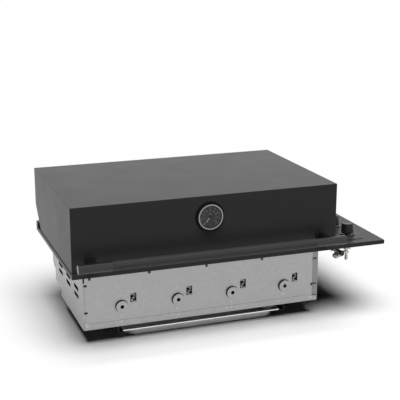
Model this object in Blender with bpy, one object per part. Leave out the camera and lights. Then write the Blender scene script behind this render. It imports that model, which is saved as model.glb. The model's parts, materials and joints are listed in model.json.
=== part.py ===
# Built-in gas grill for a worktop cut-out: four burners, a folded hood and controls on the right.
# Metres, +Z up. Shapes are laid out with x = 0 at the hood's centre, y = 0 at its front face and
# z = 0 on the cover plate, and hang under one empty that stands the grill on its drip tray.
import math

import bmesh
import bpy
from mathutils import Matrix, Vector

# Sheets, fits and roundness
body_sheet = 0.0015
plate_sheet = 0.002
gap = 0.0003
overrun = 0.005
round_steps = 24
medium_steps = 16
fine_steps = 28
small_steps = 12
arc_steps = 4

# Hood
hood_width = 0.850
hood_depth = 0.540
hood_height = 0.198
hood_rear_cut = 0.075
exhaust_gap = 0.026

# Cover plate and rear rail
plate_left_margin = 0.0025
plate_right_margin = 0.1717
plate_front = 0.0115
plate_setback = 0.011
plate_flange = 0.0135
opening_side_inset = 0.0125
opening_front_inset = 0.007
opening_back_inset = 0.012
rail_depth = 0.024
rail_height = 0.018

# Firebox
body_side_inset = 0.0385
body_front = 0.039
body_back_inset = 0.066
body_height = 0.196
floor_lip = 0.020
floor_back_lip = 0.014
step_height = 0.024
step_depth = 0.084
step_slope = 0.007
back_wall_height = 0.035
bulge_depth = 0.037
bulge_rise = 0.010
bulge_corner_depth = 0.008
bulge_corner_height = 0.013
panel_left_inset = 0.0055
panel_right_inset = 0.0185
side_flange = 0.018
side_flange_top = 0.046
side_flange_bottom = 0.016
side_top_flange = 0.012
notch_drop = 0.055
notch_rise = 0.056
notch_width = 0.013
notch_height = 0.009
grease_hole_width = 0.400
grease_hole_front = 0.080
grease_hole_back = 0.054

# Louvre slots in the side panels
slot_columns = 3
slot_length = 0.060
slot_width = 0.0125
slot_first = 0.0865
slot_end = 0.0875
slot_drops = (0.086, 0.110)

# Burners, tamers, grates
burner_count = 4
burner_end_inset = 0.11845
burner_rise = 0.064
port_hole = 0.0395
burner_head = 0.037
burner_inlet = 0.012
burner_inlet_depth = 0.014
burner_stand_out = 0.0075
burner_head_length = 0.024
burner_throat = 0.026
burner_wall = 0.0015
burner_cone_length = 0.030
burner_tube = 0.040
burner_back_gap = 0.004
burner_plate_height = 0.080
burner_plate_width = 0.024
flame_slot_count = 8
flame_slot_length = 0.024
flame_slot_width = 0.002
window_width = 0.019
window_height = 0.0285
window_side = 0.037
window_rise = 0.023
igniter_depth = 0.010
electrode_length = 0.022
electrode_diameter = 0.005
tamer_width = 0.064
tamer_height = 0.026
tamer_lip = 0.004
shelf_drop = 0.0186
shelf_width = 0.018
tamer_shelf_rise = 0.0434
grate_count = 3
grate_thickness = 0.013
grate_bar_count = 12
grate_bar = 0.008
grate_border = 0.010
grate_spacing = 0.001
carrier_width = 0.016
carrier_setback = 0.036

# Gas parts under the plate
knob_count = 4
knob_offset = 0.0857
knob_first = 0.080
knob_pitch = 0.100
manifold_offset = 0.0248
manifold_drop = 0.058
manifold_diameter = 0.016
manifold_front_end = 0.018
manifold_back_end = 0.025
inlet_setback = 0.002
inlet_reach = 0.022
inlet_drop = 0.068
inlet_diameter = 0.0125
inlet_bore = 0.010
inlet_bore_depth = 0.012
inlet_nut_diameter = 0.018
inlet_nut_start = 0.0055
inlet_nut_length = 0.009
plug_diameter = 0.015
plug_length = 0.012
valve_width = 0.020
valve_top_drop = 0.026
valve_bottom_drop = 0.048
valve_neck = 0.018
valve_leg = 0.0115
valve_leg_drop = 0.0632
valve_arm = 0.009
outlet_diameter = 0.0088
outlet_bore = 0.006
outlet_bore_depth = 0.012
outlet_drop = 0.0862
stem_diameter = 0.008
stem_fit = 0.0003
stem_depth = 0.022
stem_top = 0.026

# Knobs
bezel_diameter = 0.048
bezel_height = 0.005
bezel_floor = 0.002
bezel_rim = 0.0025
knob_bottom = 0.0065
knob_top = 0.040
knob_diameter = 0.041
knob_top_diameter = 0.0385
knob_skirt_height = 0.004
knob_skirt_inset = 0.0025
knob_edge = 0.0015
knob_dish = 0.0012
knob_push = 0.003
pointer_width = 0.002
pointer_length = 0.010
pointer_depth = 0.0008

# Gauge on the hood's front
gauge_drop = 0.0644
gauge_base_diameter = 0.092
gauge_ring_outer = 0.0785
gauge_ring_inner = 0.0695
gauge_base_depth = 0.0045
gauge_cup_depth = 0.0085
gauge_wall = 0.0035
gauge_floor_depth = 0.0025
gauge_ring_depth = 0.002
gauge_boss_diameter = 0.040
gauge_boss_length = 0.018
gauge_hole_fit = 0.0005
probe_diameter = 0.006
probe_length = 0.060
dial_thickness = 0.001
lens_thickness = 0.0015
needle_length = 0.0305
needle_tail = 0.004
needle_width = 0.0026
needle_tip_width = 0.0008
needle_thickness = 0.0008
needle_hub_diameter = 0.0105
needle_pin_diameter = 0.002
needle_rest_degrees = 219

# Handle
handle_reach = 0.0693
handle_height = 0.0362
handle_diameter = 0.028
handle_end_inset = 0.002
sleeve_length = 0.102
sleeve_edge = 0.0015
flute_count = 12
flute_depth = 0.0008
flute_groove_share = 0.2
core_diameter = 0.018
core_wall = 0.0018
core_end_wall = 0.006
post_inset = 0.054
post_base_diameter = 0.036
post_base_thickness = 0.004
post_waist_diameter = 0.025
post_head_diameter = 0.027
post_saddle = 0.007

# Hood hinges
hinge_inset = 0.095
pivot_rise = 0.008
pin_diameter = 0.005
pin_head_diameter = 0.008
pin_head_length = 0.0015
pin_fit = 0.0003
ear_thickness = 0.004
ear_boss_diameter = 0.010
ear_foot_length = 0.030
ear_foot_width = 0.024
ear_foot_thickness = 0.002
ear_side_fit = 0.0005
knuckle_cheek = 0.003
knuckle_base = 0.0015
knuckle_length = 0.020
knuckle_round = 0.0055

# Drip tray and its rails
tray_width = 0.528
tray_depth = 0.325
tray_setback = 0.014
tray_hang = 0.0195
tray_rim_width = 0.010
tray_rim_thickness = 0.0055
tray_height = 0.0305
tray_taper = 0.007
tray_corner = 0.032
tray_sheet = 0.0012
tray_bottom_round = 0.003
tray_side_clearance = 0.010
tray_lip_overlap = 0.006
tray_rail_flange = 0.016

# Places worked out from the sizes above
hood_half = hood_width / 2
gauge_height = hood_height - gauge_drop
plate_left = hood_half + plate_left_margin
plate_right = hood_half + plate_right_margin
plate_back = hood_depth - plate_setback
body_half = hood_half - body_side_inset
inner_half = body_half - body_sheet - gap
inside_front = body_front + body_sheet + gap
rear_bulge_y = hood_depth - body_back_inset
rear_wall_y = rear_bulge_y - bulge_depth
rear_foot_y = rear_wall_y - step_depth
back_wall_foot = -body_height + step_height + step_slope
back_wall_top = back_wall_foot + back_wall_height
panel_top = -plate_sheet - gap
panel_left = body_half - panel_left_inset
panel_right = body_half - panel_right_inset
opening_half_width = body_half - opening_side_inset
opening_front = body_front + opening_front_inset
opening_back = rear_bulge_y - opening_back_inset
slot_pitch = (rear_wall_y - body_front - slot_first - slot_end) / (slot_columns - 1)
burner_drop = body_height - burner_rise
burner_pitch = 2 * (body_half - burner_end_inset) / (burner_count - 1)
burner_places = [burner_pitch * (index - (burner_count - 1) / 2) for index in range(burner_count)]
tamer_shelf_drop = burner_drop - tamer_shelf_rise
knob_x = hood_half + knob_offset
knob_places = [knob_first + knob_pitch * index for index in range(knob_count)]
manifold_x = knob_x - manifold_offset
manifold_front = knob_places[0] - manifold_front_end
manifold_back = knob_places[-1] + manifold_back_end
inlet_y = knob_places[0] + inlet_setback
inlet_end_x = manifold_x - inlet_reach
handle_half_length = hood_half - handle_end_inset
post_x = hood_half - post_inset
hinge_x = hood_half - hinge_inset
pivot_y = plate_back - rail_depth / 2
pivot_height = rail_height + pivot_rise
tray_front = body_front + tray_setback
tray_middle_y = tray_front + tray_depth / 2
tray_rim_drop = body_height + tray_hang
tray_bottom_drop = tray_rim_drop + tray_height
stand_offset = Vector((
    (plate_left - plate_right) / 2,
    (handle_reach + handle_diameter / 2 - hood_depth) / 2,
    tray_bottom_drop,
))

origins = {}


# Scene, materials and objects
def clear_scene():
    for old in list(bpy.data.objects):
        bpy.data.objects.remove(old, do_unlink=True)


def frame_empty(name, origin, parent=None):
    """An empty at a place in the layout frame, for pieces that move together."""
    empty = bpy.data.objects.new(name, None)
    bpy.context.scene.collection.objects.link(empty)
    origins[name] = Vector(origin)
    empty.parent = parent
    empty.location = origins[name] - origins[parent.name] if parent else stand_offset
    return empty


def material_for(name, colour, roughness, metallic):
    material = bpy.data.materials.new(name + "_finish")
    material.use_nodes = True
    shader = material.node_tree.nodes["Principled BSDF"]
    shader.inputs["Base Color"].default_value = (*colour, 1)
    shader.inputs["Roughness"].default_value = roughness
    shader.inputs["Metallic"].default_value = metallic
    return material


def place(name, shape, origin, parent):
    """Turns a bmesh in the layout frame into an object whose origin is at the given place."""
    bmesh.ops.translate(shape, verts=shape.verts, vec=-Vector(origin))
    mesh = bpy.data.meshes.new(name)
    shape.to_mesh(mesh)
    shape.free()
    made = bpy.data.objects.new(name, mesh)
    bpy.context.scene.collection.objects.link(made)
    made.parent = parent
    made.location = Vector(origin) - origins[parent.name]
    return made


def piece(name, shape, finish, parent, origin=None):
    origin = origins[parent.name] if origin is None else origin
    made = place(name, shape, origin, parent)
    made.data.materials.append(material_for(name, *finish))
    made.data.shade_smooth()
    made.data.set_sharp_from_angle(angle=math.radians(30))
    origins[name] = Vector(origin)
    return made


def combine(target, shape, operation):
    """Adds or cuts a helper shape, given in the layout frame, with a Boolean modifier."""
    helper = place(f"{target.name}_{operation.lower()}", shape, origins[target.name], target.parent)
    helper.hide_render = True
    helper.display_type = "WIRE"
    modifier = target.modifiers.new(operation.title(), "BOOLEAN")
    modifier.operation = operation
    modifier.solver = "EXACT"
    modifier.object = helper


# Shapes
def block(shape, first, second):
    """A box between two opposite corners, in any order."""
    size = [abs(far - near) for near, far in zip(first, second)]
    matrix = Matrix.Translation((Vector(first) + Vector(second)) / 2) @ Matrix.Diagonal((*size, 1))
    bmesh.ops.create_cube(shape, size=1, matrix=matrix)


def rod(shape, start, end, diameter, steps=round_steps):
    start = Vector(start)
    run = Vector(end) - start
    turn = run.to_track_quat("Z", "Y").to_matrix().to_4x4()
    matrix = Matrix.Translation(start + run / 2) @ turn
    bmesh.ops.create_cone(
        shape, cap_ends=True, segments=steps, radius1=diameter / 2, radius2=diameter / 2,
        depth=run.length, matrix=matrix,
    )


def axis_point(axis, along, first, second):
    """A point from its place along an axis and its two other coordinates, in x, y, z order."""
    return {"X": (along, first, second), "Y": (first, along, second), "Z": (first, second, along)}[axis]


def prism(shape, outline, axis, start, end):
    """Extrudes a closed outline, given in the two other coordinates, along an axis."""
    corners = [shape.verts.new(axis_point(axis, start, *point)) for point in outline]
    face = shape.faces.new(corners)
    grown = bmesh.ops.extrude_face_region(shape, geom=[face])["geom"]
    moved = [item for item in grown if isinstance(item, bmesh.types.BMVert)]
    bmesh.ops.translate(shape, verts=moved, vec=Vector(axis_point(axis, end - start, 0, 0)))
    bmesh.ops.recalc_face_normals(shape, faces=shape.faces)


def revolve(shape, profile, axis, centre, steps=round_steps):
    """Turns a profile of (radius, place along the axis) about an axis through the centre."""
    verts = [
        shape.verts.new(axis_point(axis, along, centre[0] + radius, centre[1])) for radius, along in profile
    ]
    edges = [shape.edges.new(pair) for pair in zip(verts, verts[1:])]
    bmesh.ops.spin(
        shape, geom=verts + edges, cent=axis_point(axis, 0, *centre), axis=axis_point(axis, 1, 0, 0),
        angle=math.tau, steps=steps, use_merge=True,
    )
    bmesh.ops.remove_doubles(shape, verts=shape.verts, dist=gap / 100)
    bmesh.ops.recalc_face_normals(shape, faces=shape.faces)


def obround(middle, length, width):
    """A slot outline with round ends: its long side runs along the first coordinate."""
    points = []
    for end in (1, -1):
        for step in range(arc_steps + 1):
            angle = math.pi * (step / arc_steps - 1 / 2)
            reach = length / 2 - width / 2 + width / 2 * math.cos(angle)
            points.append((middle[0] + end * reach, middle[1] + end * width / 2 * math.sin(angle)))
    return points


def thicken(path, thickness):
    """A folded sheet's outline: the path, and the same path moved to its left by the thickness."""
    moved = []
    for index, point in enumerate(path):
        near = [
            (Vector(path[other + 1]) - Vector(path[other])).normalized()
            for other in (index - 1, index) if 0 <= other < len(path) - 1
        ]
        normals = [Vector((-run.y, run.x)) for run in near]
        middle = sum(normals, Vector((0, 0))).normalized()
        moved.append(tuple(Vector(point) + middle * thickness / middle.dot(normals[0])))
    return list(path) + moved[::-1]


def rounded_loop(shape, middle, half_x, half_y, radius, height):
    """A ring of points along a rectangle with round corners."""
    ring = []
    for corner, (side_x, side_y) in enumerate(((1, 1), (-1, 1), (-1, -1), (1, -1))):
        for step in range(arc_steps + 1):
            angle = math.pi / 2 * (corner + step / arc_steps)
            ring.append(shape.verts.new((
                middle[0] + side_x * (half_x - radius) + radius * math.cos(angle),
                middle[1] + side_y * (half_y - radius) + radius * math.sin(angle),
                height,
            )))
    return ring


def mirrored(outline, side):
    return [(side * first, second) for first, second in outline]


# Cover plate, rear rail and hinge knuckles
def make_cover_plate(parent):
    shape = bmesh.new()
    block(shape, (-plate_left, -plate_front, -plate_flange), (plate_right, plate_back, 0))
    plate = piece("cover_plate", shape, black_paint, parent)
    hollow = bmesh.new()
    block(
        hollow,
        (-plate_left + plate_sheet, -plate_front + plate_sheet, -plate_flange - overrun),
        (plate_right - plate_sheet, plate_back - plate_sheet, -plate_sheet),
    )
    combine(plate, hollow, "DIFFERENCE")
    lip = bmesh.new()
    block(
        lip,
        (-opening_half_width - plate_sheet, opening_front - plate_sheet, -plate_flange),
        (opening_half_width + plate_sheet, opening_back + plate_sheet, -plate_sheet / 2),
    )
    combine(plate, lip, "UNION")
    holes = bmesh.new()
    block(
        holes,
        (-opening_half_width, opening_front, -plate_flange - overrun),
        (opening_half_width, opening_back, overrun),
    )
    for knob_y in knob_places:
        hole = stem_diameter + 2 * (stem_fit + gap)
        rod(holes, (knob_x, knob_y, -plate_flange), (knob_x, knob_y, overrun), hole, small_steps)
    combine(plate, holes, "DIFFERENCE")


def make_rear_rail(parent):
    shape = bmesh.new()
    block(shape, (-plate_left, plate_back - rail_depth, gap), (plate_left, plate_back, rail_height))
    rail = piece("rear_rail", shape, black_paint, parent)
    hollow = bmesh.new()
    block(
        hollow,
        (-plate_left + body_sheet, plate_back - rail_depth + body_sheet, -overrun),
        (plate_left - body_sheet, plate_back - body_sheet, rail_height - body_sheet),
    )
    combine(rail, hollow, "DIFFERENCE")


def make_hinge_knuckle(name, x, parent):
    foot = rail_height + gap
    inner = ear_thickness / 2 + ear_side_fit
    outer = inner + knuckle_cheek
    half = knuckle_length / 2
    shape = bmesh.new()
    block(shape, (x - outer, pivot_y - half, foot), (x + outer, pivot_y + half, foot + knuckle_base))
    knuckle = piece(name, shape, dark_steel, parent, (x, pivot_y, pivot_height))
    outline = [(pivot_y - half, foot), (pivot_y + half, foot)]
    for step in range(2 * arc_steps + 1):
        angle = math.pi * step / (2 * arc_steps)
        outline.append((
            pivot_y + knuckle_round * math.cos(angle), pivot_height + knuckle_round * math.sin(angle),
        ))
    cheeks = bmesh.new()
    prism(cheeks, outline, "X", x - outer, x - inner)
    prism(cheeks, outline, "X", x + inner, x + outer)
    combine(knuckle, cheeks, "UNION")
    pin = bmesh.new()
    head = outer + pin_head_length
    profile = [
        (0, x - head), (pin_head_diameter / 2, x - head), (pin_head_diameter / 2, x - outer + gap),
        (pin_diameter / 2, x - outer + gap), (pin_diameter / 2, x + outer - gap),
        (pin_head_diameter / 2, x + outer - gap), (pin_head_diameter / 2, x + head), (0, x + head),
    ]
    revolve(pin, profile, "X", (pivot_y, pivot_height), small_steps)
    combine(knuckle, pin, "UNION")


# Firebox
def rear_profile():
    """The firebox's stepped back, from the floor up to the cover plate, as (y, z)."""
    return [
        (rear_foot_y, -body_height),
        (rear_foot_y, -body_height + step_height),
        (rear_wall_y, back_wall_foot),
        (rear_wall_y, back_wall_top),
        (rear_bulge_y - bulge_corner_depth, back_wall_top + bulge_rise),
        (rear_bulge_y, back_wall_top + bulge_rise + bulge_corner_height),
        (rear_bulge_y, panel_top),
    ]


def make_side_panel(name, side, parent):
    outer = side * body_half
    inner = side * (body_half - body_sheet)
    outline = [(inside_front, panel_top), (inside_front, -body_height)] + rear_profile()
    shape = bmesh.new()
    prism(shape, outline, "X", inner, outer)
    panel = piece(name, shape, galvanised, parent)
    flanges = bmesh.new()
    root = side * (body_half - body_sheet / 2)
    turned = side * (body_half - side_flange)
    flange_foot = -body_height + side_flange_bottom
    block(
        flanges,
        (turned, inside_front, flange_foot),
        (root, inside_front + body_sheet, -side_flange_top),
    )
    outward = side * (body_half + side_top_flange)
    block(flanges, (root, inside_front, panel_top - body_sheet), (outward, rear_bulge_y, panel_top))
    combine(panel, flanges, "UNION")
    slots = bmesh.new()
    for column in range(slot_columns):
        for drop in slot_drops:
            middle = (body_front + slot_first + slot_pitch * column, -drop)
            prism(
                slots, obround(middle, slot_length, slot_width), "X",
                side * (body_half - body_sheet - overrun), side * (body_half + overrun),
            )
    combine(panel, slots, "DIFFERENCE")


def make_front_panel(parent):
    shape = bmesh.new()
    bottom = -body_height + floor_lip
    block(shape, (-panel_left, body_front, bottom), (panel_right, body_front + body_sheet, panel_top))
    panel = piece("front_panel", shape, galvanised, parent)
    holes = bmesh.new()
    near = body_front - overrun
    far = body_front + body_sheet + overrun
    for x in burner_places:
        rod(holes, (x, near, -burner_drop), (x, far, -burner_drop), port_hole)
        window_x = x + window_side
        window_z = -burner_drop + window_rise
        block(
            holes,
            (window_x - window_width / 2, near, window_z - window_height / 2),
            (window_x + window_width / 2, far, window_z + window_height / 2),
        )
    for edge in (-panel_left, panel_right):
        for drop in (notch_drop, body_height - notch_rise):
            prism(holes, obround((edge, -drop), notch_width, notch_height), "Y", near, far)
    combine(panel, holes, "DIFFERENCE")


def make_floor_pan(parent):
    back = rear_foot_y - body_sheet - gap
    path = [
        (body_front, -body_height + floor_lip - gap),
        (body_front, -body_height),
        (back, -body_height),
        (back, -body_height + floor_back_lip),
    ]
    shape = bmesh.new()
    prism(shape, thicken(path, body_sheet), "X", -inner_half, inner_half)
    pan = piece("floor_pan", shape, galvanised, parent)
    hole = bmesh.new()
    block(
        hole,
        (-grease_hole_width / 2, body_front + grease_hole_front, -body_height - overrun),
        (
            grease_hole_width / 2,
            rear_foot_y - grease_hole_back,
            -body_height + body_sheet + overrun,
        ),
    )
    combine(pan, hole, "DIFFERENCE")


def make_rear_panel(parent):
    shape = bmesh.new()
    prism(shape, thicken(rear_profile(), body_sheet), "X", -inner_half, inner_half)
    piece("rear_panel", shape, galvanised, parent)


def make_ledges(parent):
    """The two folded rails inside the firebox: grates lie on the upper shelf, tamers on the lower."""
    half = body_half - side_flange - gap
    front = inside_front
    lower = -tamer_shelf_drop - body_sheet
    path = [
        (front + shelf_width, -shelf_drop), (front, -shelf_drop),
        (front, lower), (front + shelf_width, lower),
    ]
    shape = bmesh.new()
    prism(shape, thicken(path, body_sheet), "X", -half, half)
    piece("grate_ledge_front", shape, galvanised, parent)
    back = rear_bulge_y - body_sheet - gap
    path = [
        (back - shelf_width, lower), (back, lower),
        (back, -shelf_drop), (back - shelf_width, -shelf_drop),
    ]
    shape = bmesh.new()
    prism(shape, thicken(path, body_sheet), "X", -half, half)
    piece("grate_ledge_rear", shape, galvanised, parent)


# Burners and what lies over them
def make_burner(name, x, parent):
    """A hollow turned burner: head with gas inlet, throat, cone and a tube slotted for the flames."""
    front = body_front - burner_stand_out
    head_end = front + burner_head_length
    throat_end = head_end + burner_cone_length
    tube_start = throat_end + burner_cone_length
    back = rear_wall_y - body_sheet - burner_back_gap
    profile = [
        (0, front), (burner_head / 2, front), (burner_head / 2, head_end),
        (burner_throat / 2, throat_end), (burner_tube / 2, tube_start),
        (burner_tube / 2, back), (0, back),
    ]
    shape = bmesh.new()
    revolve(shape, profile, "Y", (x, -burner_drop), medium_steps)
    burner = piece(name, shape, burner_steel, parent, (x, body_front, -burner_drop))
    outline = [
        (x + offset_z, -burner_drop + offset_x)
        for offset_x, offset_z in obround((0, 0), burner_plate_height, burner_plate_width)
    ]
    plate = bmesh.new()
    prism(plate, outline, "Y", inside_front, inside_front + body_sheet)
    combine(burner, plate, "UNION")
    hollow = bmesh.new()
    hollow_start = front + burner_inlet_depth
    wall = burner_wall
    profile = [
        (0, hollow_start), (burner_throat / 2 - wall, hollow_start), (burner_throat / 2 - wall, throat_end),
        (burner_tube / 2 - wall, tube_start), (burner_tube / 2 - wall, back - wall), (0, back - wall),
    ]
    revolve(hollow, profile, "Y", (x, -burner_drop), medium_steps)
    combine(burner, hollow, "DIFFERENCE")
    inlet = bmesh.new()
    inlet_end = hollow_start + overrun
    rod(inlet, (x, front - overrun, -burner_drop), (x, inlet_end, -burner_drop), burner_inlet, small_steps)
    combine(burner, inlet, "DIFFERENCE")
    slots = bmesh.new()
    pitch = (back - burner_wall - tube_start) / flame_slot_count
    half_length, half_width = flame_slot_length / 2, flame_slot_width / 2
    top = burner_tube / 2 - burner_drop + overrun
    for index in range(flame_slot_count):
        middle = tube_start + pitch * (index + 1 / 2)
        near = (x - half_length, middle - half_width, -burner_drop)
        far = (x + half_length, middle + half_width, top)
        block(slots, near, far)
    combine(burner, slots, "DIFFERENCE")


def make_flame_tamer(name, x, parent):
    half = tamer_width / 2
    low = -tamer_shelf_drop + gap
    path = [
        (x + half, low), (x + half, low + tamer_lip), (x, low + tamer_height),
        (x - half, low + tamer_lip), (x - half, low),
    ]
    shape = bmesh.new()
    end = rear_bulge_y - 2 * body_sheet - 3 * gap
    prism(shape, thicken(path, body_sheet), "Y", inside_front + body_sheet + 2 * gap, end)
    piece(name, shape, burner_steel, parent, (x, body_front, low))


def make_cooking_grate(name, index, parent):
    """One cast grate: a frame and lengthwise bars with a cross bar in the middle."""
    whole = 2 * opening_half_width - (grate_count + 1) * grate_spacing
    width = whole / grate_count
    left = -opening_half_width + grate_spacing + index * (width + grate_spacing)
    front = opening_front + 2 * grate_spacing
    back = opening_back - 2 * grate_spacing
    low = -shelf_drop + gap
    shape = bmesh.new()
    block(shape, (left, front, low), (left + width, back, low + grate_thickness))
    grate = piece(name, shape, cast_iron, parent, (left + width / 2, (front + back) / 2, low))
    slots = bmesh.new()
    inner = width - 2 * grate_border
    pitch = (inner + grate_bar) / grate_bar_count
    middle = (front + back) / 2
    for bar in range(grate_bar_count):
        start = left + grate_border + pitch * bar
        for slot_front, slot_back in (
            (front + grate_border, middle - grate_bar / 2),
            (middle + grate_bar / 2, back - grate_border),
        ):
            block(
                slots,
                (start, slot_front, low - overrun),
                (start + pitch - grate_bar, slot_back, low + grate_thickness + overrun),
            )
    combine(grate, slots, "DIFFERENCE")


def make_burner_carrier(parent):
    """A Z-shaped rail on the firebox's rear step that the burner tubes lie on."""
    top = -burner_drop - burner_tube / 2 - gap
    front = rear_wall_y - carrier_setback
    step_share = (front + carrier_width - rear_foot_y) / step_depth
    foot = -body_height + step_height + step_slope * step_share + 2 * (body_sheet + gap)
    path = [(front - carrier_width, top), (front, top), (front, foot), (front + carrier_width, foot)]
    shape = bmesh.new()
    prism(shape, thicken(path, -body_sheet), "X", -inner_half, inner_half)
    piece("burner_carrier", shape, galvanised, parent)


def make_igniter(name, x, parent):
    """The S-shaped igniter bracket behind a window, with its electrode reaching over the burner."""
    window_x = x + window_side
    window_z = -burner_drop + window_rise
    half = window_height / 2
    inner = window_width / 2
    path = [
        (window_x - inner, window_z + half), (window_x + inner / 2, window_z + half),
        (window_x + inner / 2, window_z + half / 4), (window_x - inner / 2, window_z - half / 4),
        (window_x - inner / 2, window_z - half), (window_x + inner, window_z - half),
    ]
    shape = bmesh.new()
    prism(shape, thicken(path, -body_sheet), "Y", inside_front, inside_front + igniter_depth)
    bracket = piece(name, shape, bright_steel, parent, (window_x, inside_front, window_z))
    electrode = bmesh.new()
    height = window_z - half + body_sheet / 2
    rod(
        electrode,
        (window_x + inner / 2, inside_front + igniter_depth / 2, height),
        (window_x + inner / 2, inside_front + igniter_depth + electrode_length, height),
        electrode_diameter, small_steps,
    )
    combine(bracket, electrode, "UNION")


# Gas parts
def make_manifold(parent):
    shape = bmesh.new()
    front = manifold_front + plug_length
    profile = [
        (0, manifold_front), (plug_diameter / 2, manifold_front), (plug_diameter / 2, front),
        (manifold_diameter / 2, front), (manifold_diameter / 2, manifold_back), (0, manifold_back),
    ]
    revolve(shape, profile, "Y", (manifold_x, -manifold_drop), medium_steps)
    manifold = piece("gas_manifold", shape, bright_steel, parent)
    drop = bmesh.new()
    foot = (manifold_x, inlet_y, -inlet_drop - inlet_diameter / 2)
    head = (manifold_x, inlet_y, -manifold_drop + manifold_diameter / 4)
    rod(drop, foot, head, inlet_diameter, small_steps)
    combine(manifold, drop, "UNION")
    inlet = bmesh.new()
    depth = inlet_end_x + inlet_bore_depth
    nut_start = inlet_end_x + inlet_nut_start
    nut_end = nut_start + inlet_nut_length
    profile = [
        (0, depth), (inlet_bore / 2, depth), (inlet_bore / 2, inlet_end_x),
        (inlet_diameter / 2, inlet_end_x), (inlet_diameter / 2, nut_start),
        (inlet_nut_diameter / 2, nut_start), (inlet_nut_diameter / 2, nut_end),
        (inlet_bore / 2, nut_end), (inlet_bore / 2, manifold_x), (0, manifold_x),
    ]
    revolve(inlet, profile, "X", (inlet_y, -inlet_drop), small_steps)
    combine(manifold, inlet, "UNION")


def make_gas_valve(name, y, parent):
    shape = bmesh.new()
    half = valve_width / 2
    block(
        shape, (knob_x - half, y - half, -valve_bottom_drop), (knob_x + half, y + half, -valve_top_drop),
    )
    valve = piece(name, shape, brass, parent, (knob_x, y, -manifold_drop))
    limbs = bmesh.new()
    rod(limbs, (knob_x, y, -valve_top_drop - overrun), (knob_x, y, panel_top), valve_neck, small_steps)
    leg_top = -valve_bottom_drop + overrun
    profile = [
        (0, -outlet_drop), (outlet_diameter / 2, -outlet_drop), (outlet_diameter / 2, -valve_leg_drop),
        (valve_leg / 2, -valve_leg_drop), (valve_leg / 2, leg_top), (0, leg_top),
    ]
    revolve(limbs, profile, "Z", (knob_x, y), small_steps)
    combine(valve, limbs, "UNION")
    arm = bmesh.new()
    arm_end = manifold_x + manifold_diameter / 2 + gap
    rod(arm, (knob_x, y, -manifold_drop), (arm_end, y, -manifold_drop), valve_arm, small_steps)
    combine(valve, arm, "UNION")
    bores = bmesh.new()
    bore = stem_diameter + 2 * stem_fit
    rod(bores, (knob_x, y, -stem_depth - gap), (knob_x, y, overrun), bore, small_steps)
    rod(bores, (knob_x, y, -outlet_drop - overrun), (knob_x, y, -outlet_drop + outlet_bore_depth),
        outlet_bore, small_steps)
    combine(valve, bores, "DIFFERENCE")


def make_bezel(name, y, parent):
    shape = bmesh.new()
    hole = stem_diameter / 2 + stem_fit + gap
    outer = bezel_diameter / 2
    inner = outer - bezel_rim
    top = gap + bezel_height
    floor = gap + bezel_floor
    profile = [
        (hole, gap), (outer, gap), (outer, top), (inner, top), (inner, floor), (hole, floor), (hole, gap),
    ]
    revolve(shape, profile, "Z", (knob_x, y), medium_steps)
    piece(name, shape, bright_steel, parent, (knob_x, y, 0))


def make_stem(name, y, parent):
    shape = bmesh.new()
    rod(shape, (knob_x, y, -stem_depth), (knob_x, y, stem_top), stem_diameter, small_steps)
    piece(name, shape, brass, parent, (knob_x, y, 0))


def make_knob(name, y, parent):
    shape = bmesh.new()
    bore = stem_diameter / 2 + stem_fit
    bore_top = stem_top + knob_push + 2 * gap
    skirt = knob_bottom + knob_skirt_height
    top = knob_top_diameter / 2
    profile = [
        (0, bore_top), (bore, bore_top), (bore, knob_bottom),
        (knob_diameter / 2 - knob_skirt_inset, knob_bottom), (knob_diameter / 2, skirt),
        (top, knob_top - knob_edge), (top - knob_edge, knob_top),
        (top - 2 * knob_edge, knob_top - knob_dish), (0, knob_top - knob_dish),
    ]
    revolve(shape, profile, "Z", (knob_x, y))
    knob = piece(name, shape, black_plastic, parent, (knob_x, y, 0))
    mark = bmesh.new()
    block(
        mark,
        (knob_x - pointer_width / 2, y - top - overrun, knob_top - knob_dish - pointer_depth),
        (knob_x + pointer_width / 2, y - top + pointer_length, knob_top + overrun),
    )
    combine(knob, mark, "DIFFERENCE")


# Hood
def hood_outline(inset, foot):
    """The hood's side outline as (y, z), moved inwards by a sheet and cut off at the foot."""
    cut = hood_depth - hood_rear_cut
    slant = inset * math.tan(math.pi / 8)
    return [
        (inset, foot),
        (inset, hood_height - inset),
        (hood_depth - inset, hood_height - inset),
        (hood_depth - inset, hood_rear_cut + slant),
        (cut + foot - inset * math.sqrt(2), foot),
    ]


def make_hood_shell(parent):
    shape = bmesh.new()
    prism(shape, hood_outline(0, gap), "X", -hood_half, hood_half)
    hood = piece("hood_shell", shape, black_paint, parent)
    inner = bmesh.new()
    half = hood_half - body_sheet
    prism(inner, hood_outline(body_sheet, -overrun), "X", -half, half)
    combine(hood, inner, "DIFFERENCE")
    exhaust = bmesh.new()
    edge = hood_depth - hood_rear_cut - overrun
    block(exhaust, (-half, edge, -overrun), (half, hood_depth, exhaust_gap))
    combine(hood, exhaust, "DIFFERENCE")
    holes = bmesh.new()
    hole = gauge_boss_diameter + 2 * gauge_hole_fit
    rod(holes, (0, -overrun, gauge_height), (0, body_sheet + overrun, gauge_height), hole)
    combine(hood, holes, "DIFFERENCE")


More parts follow.
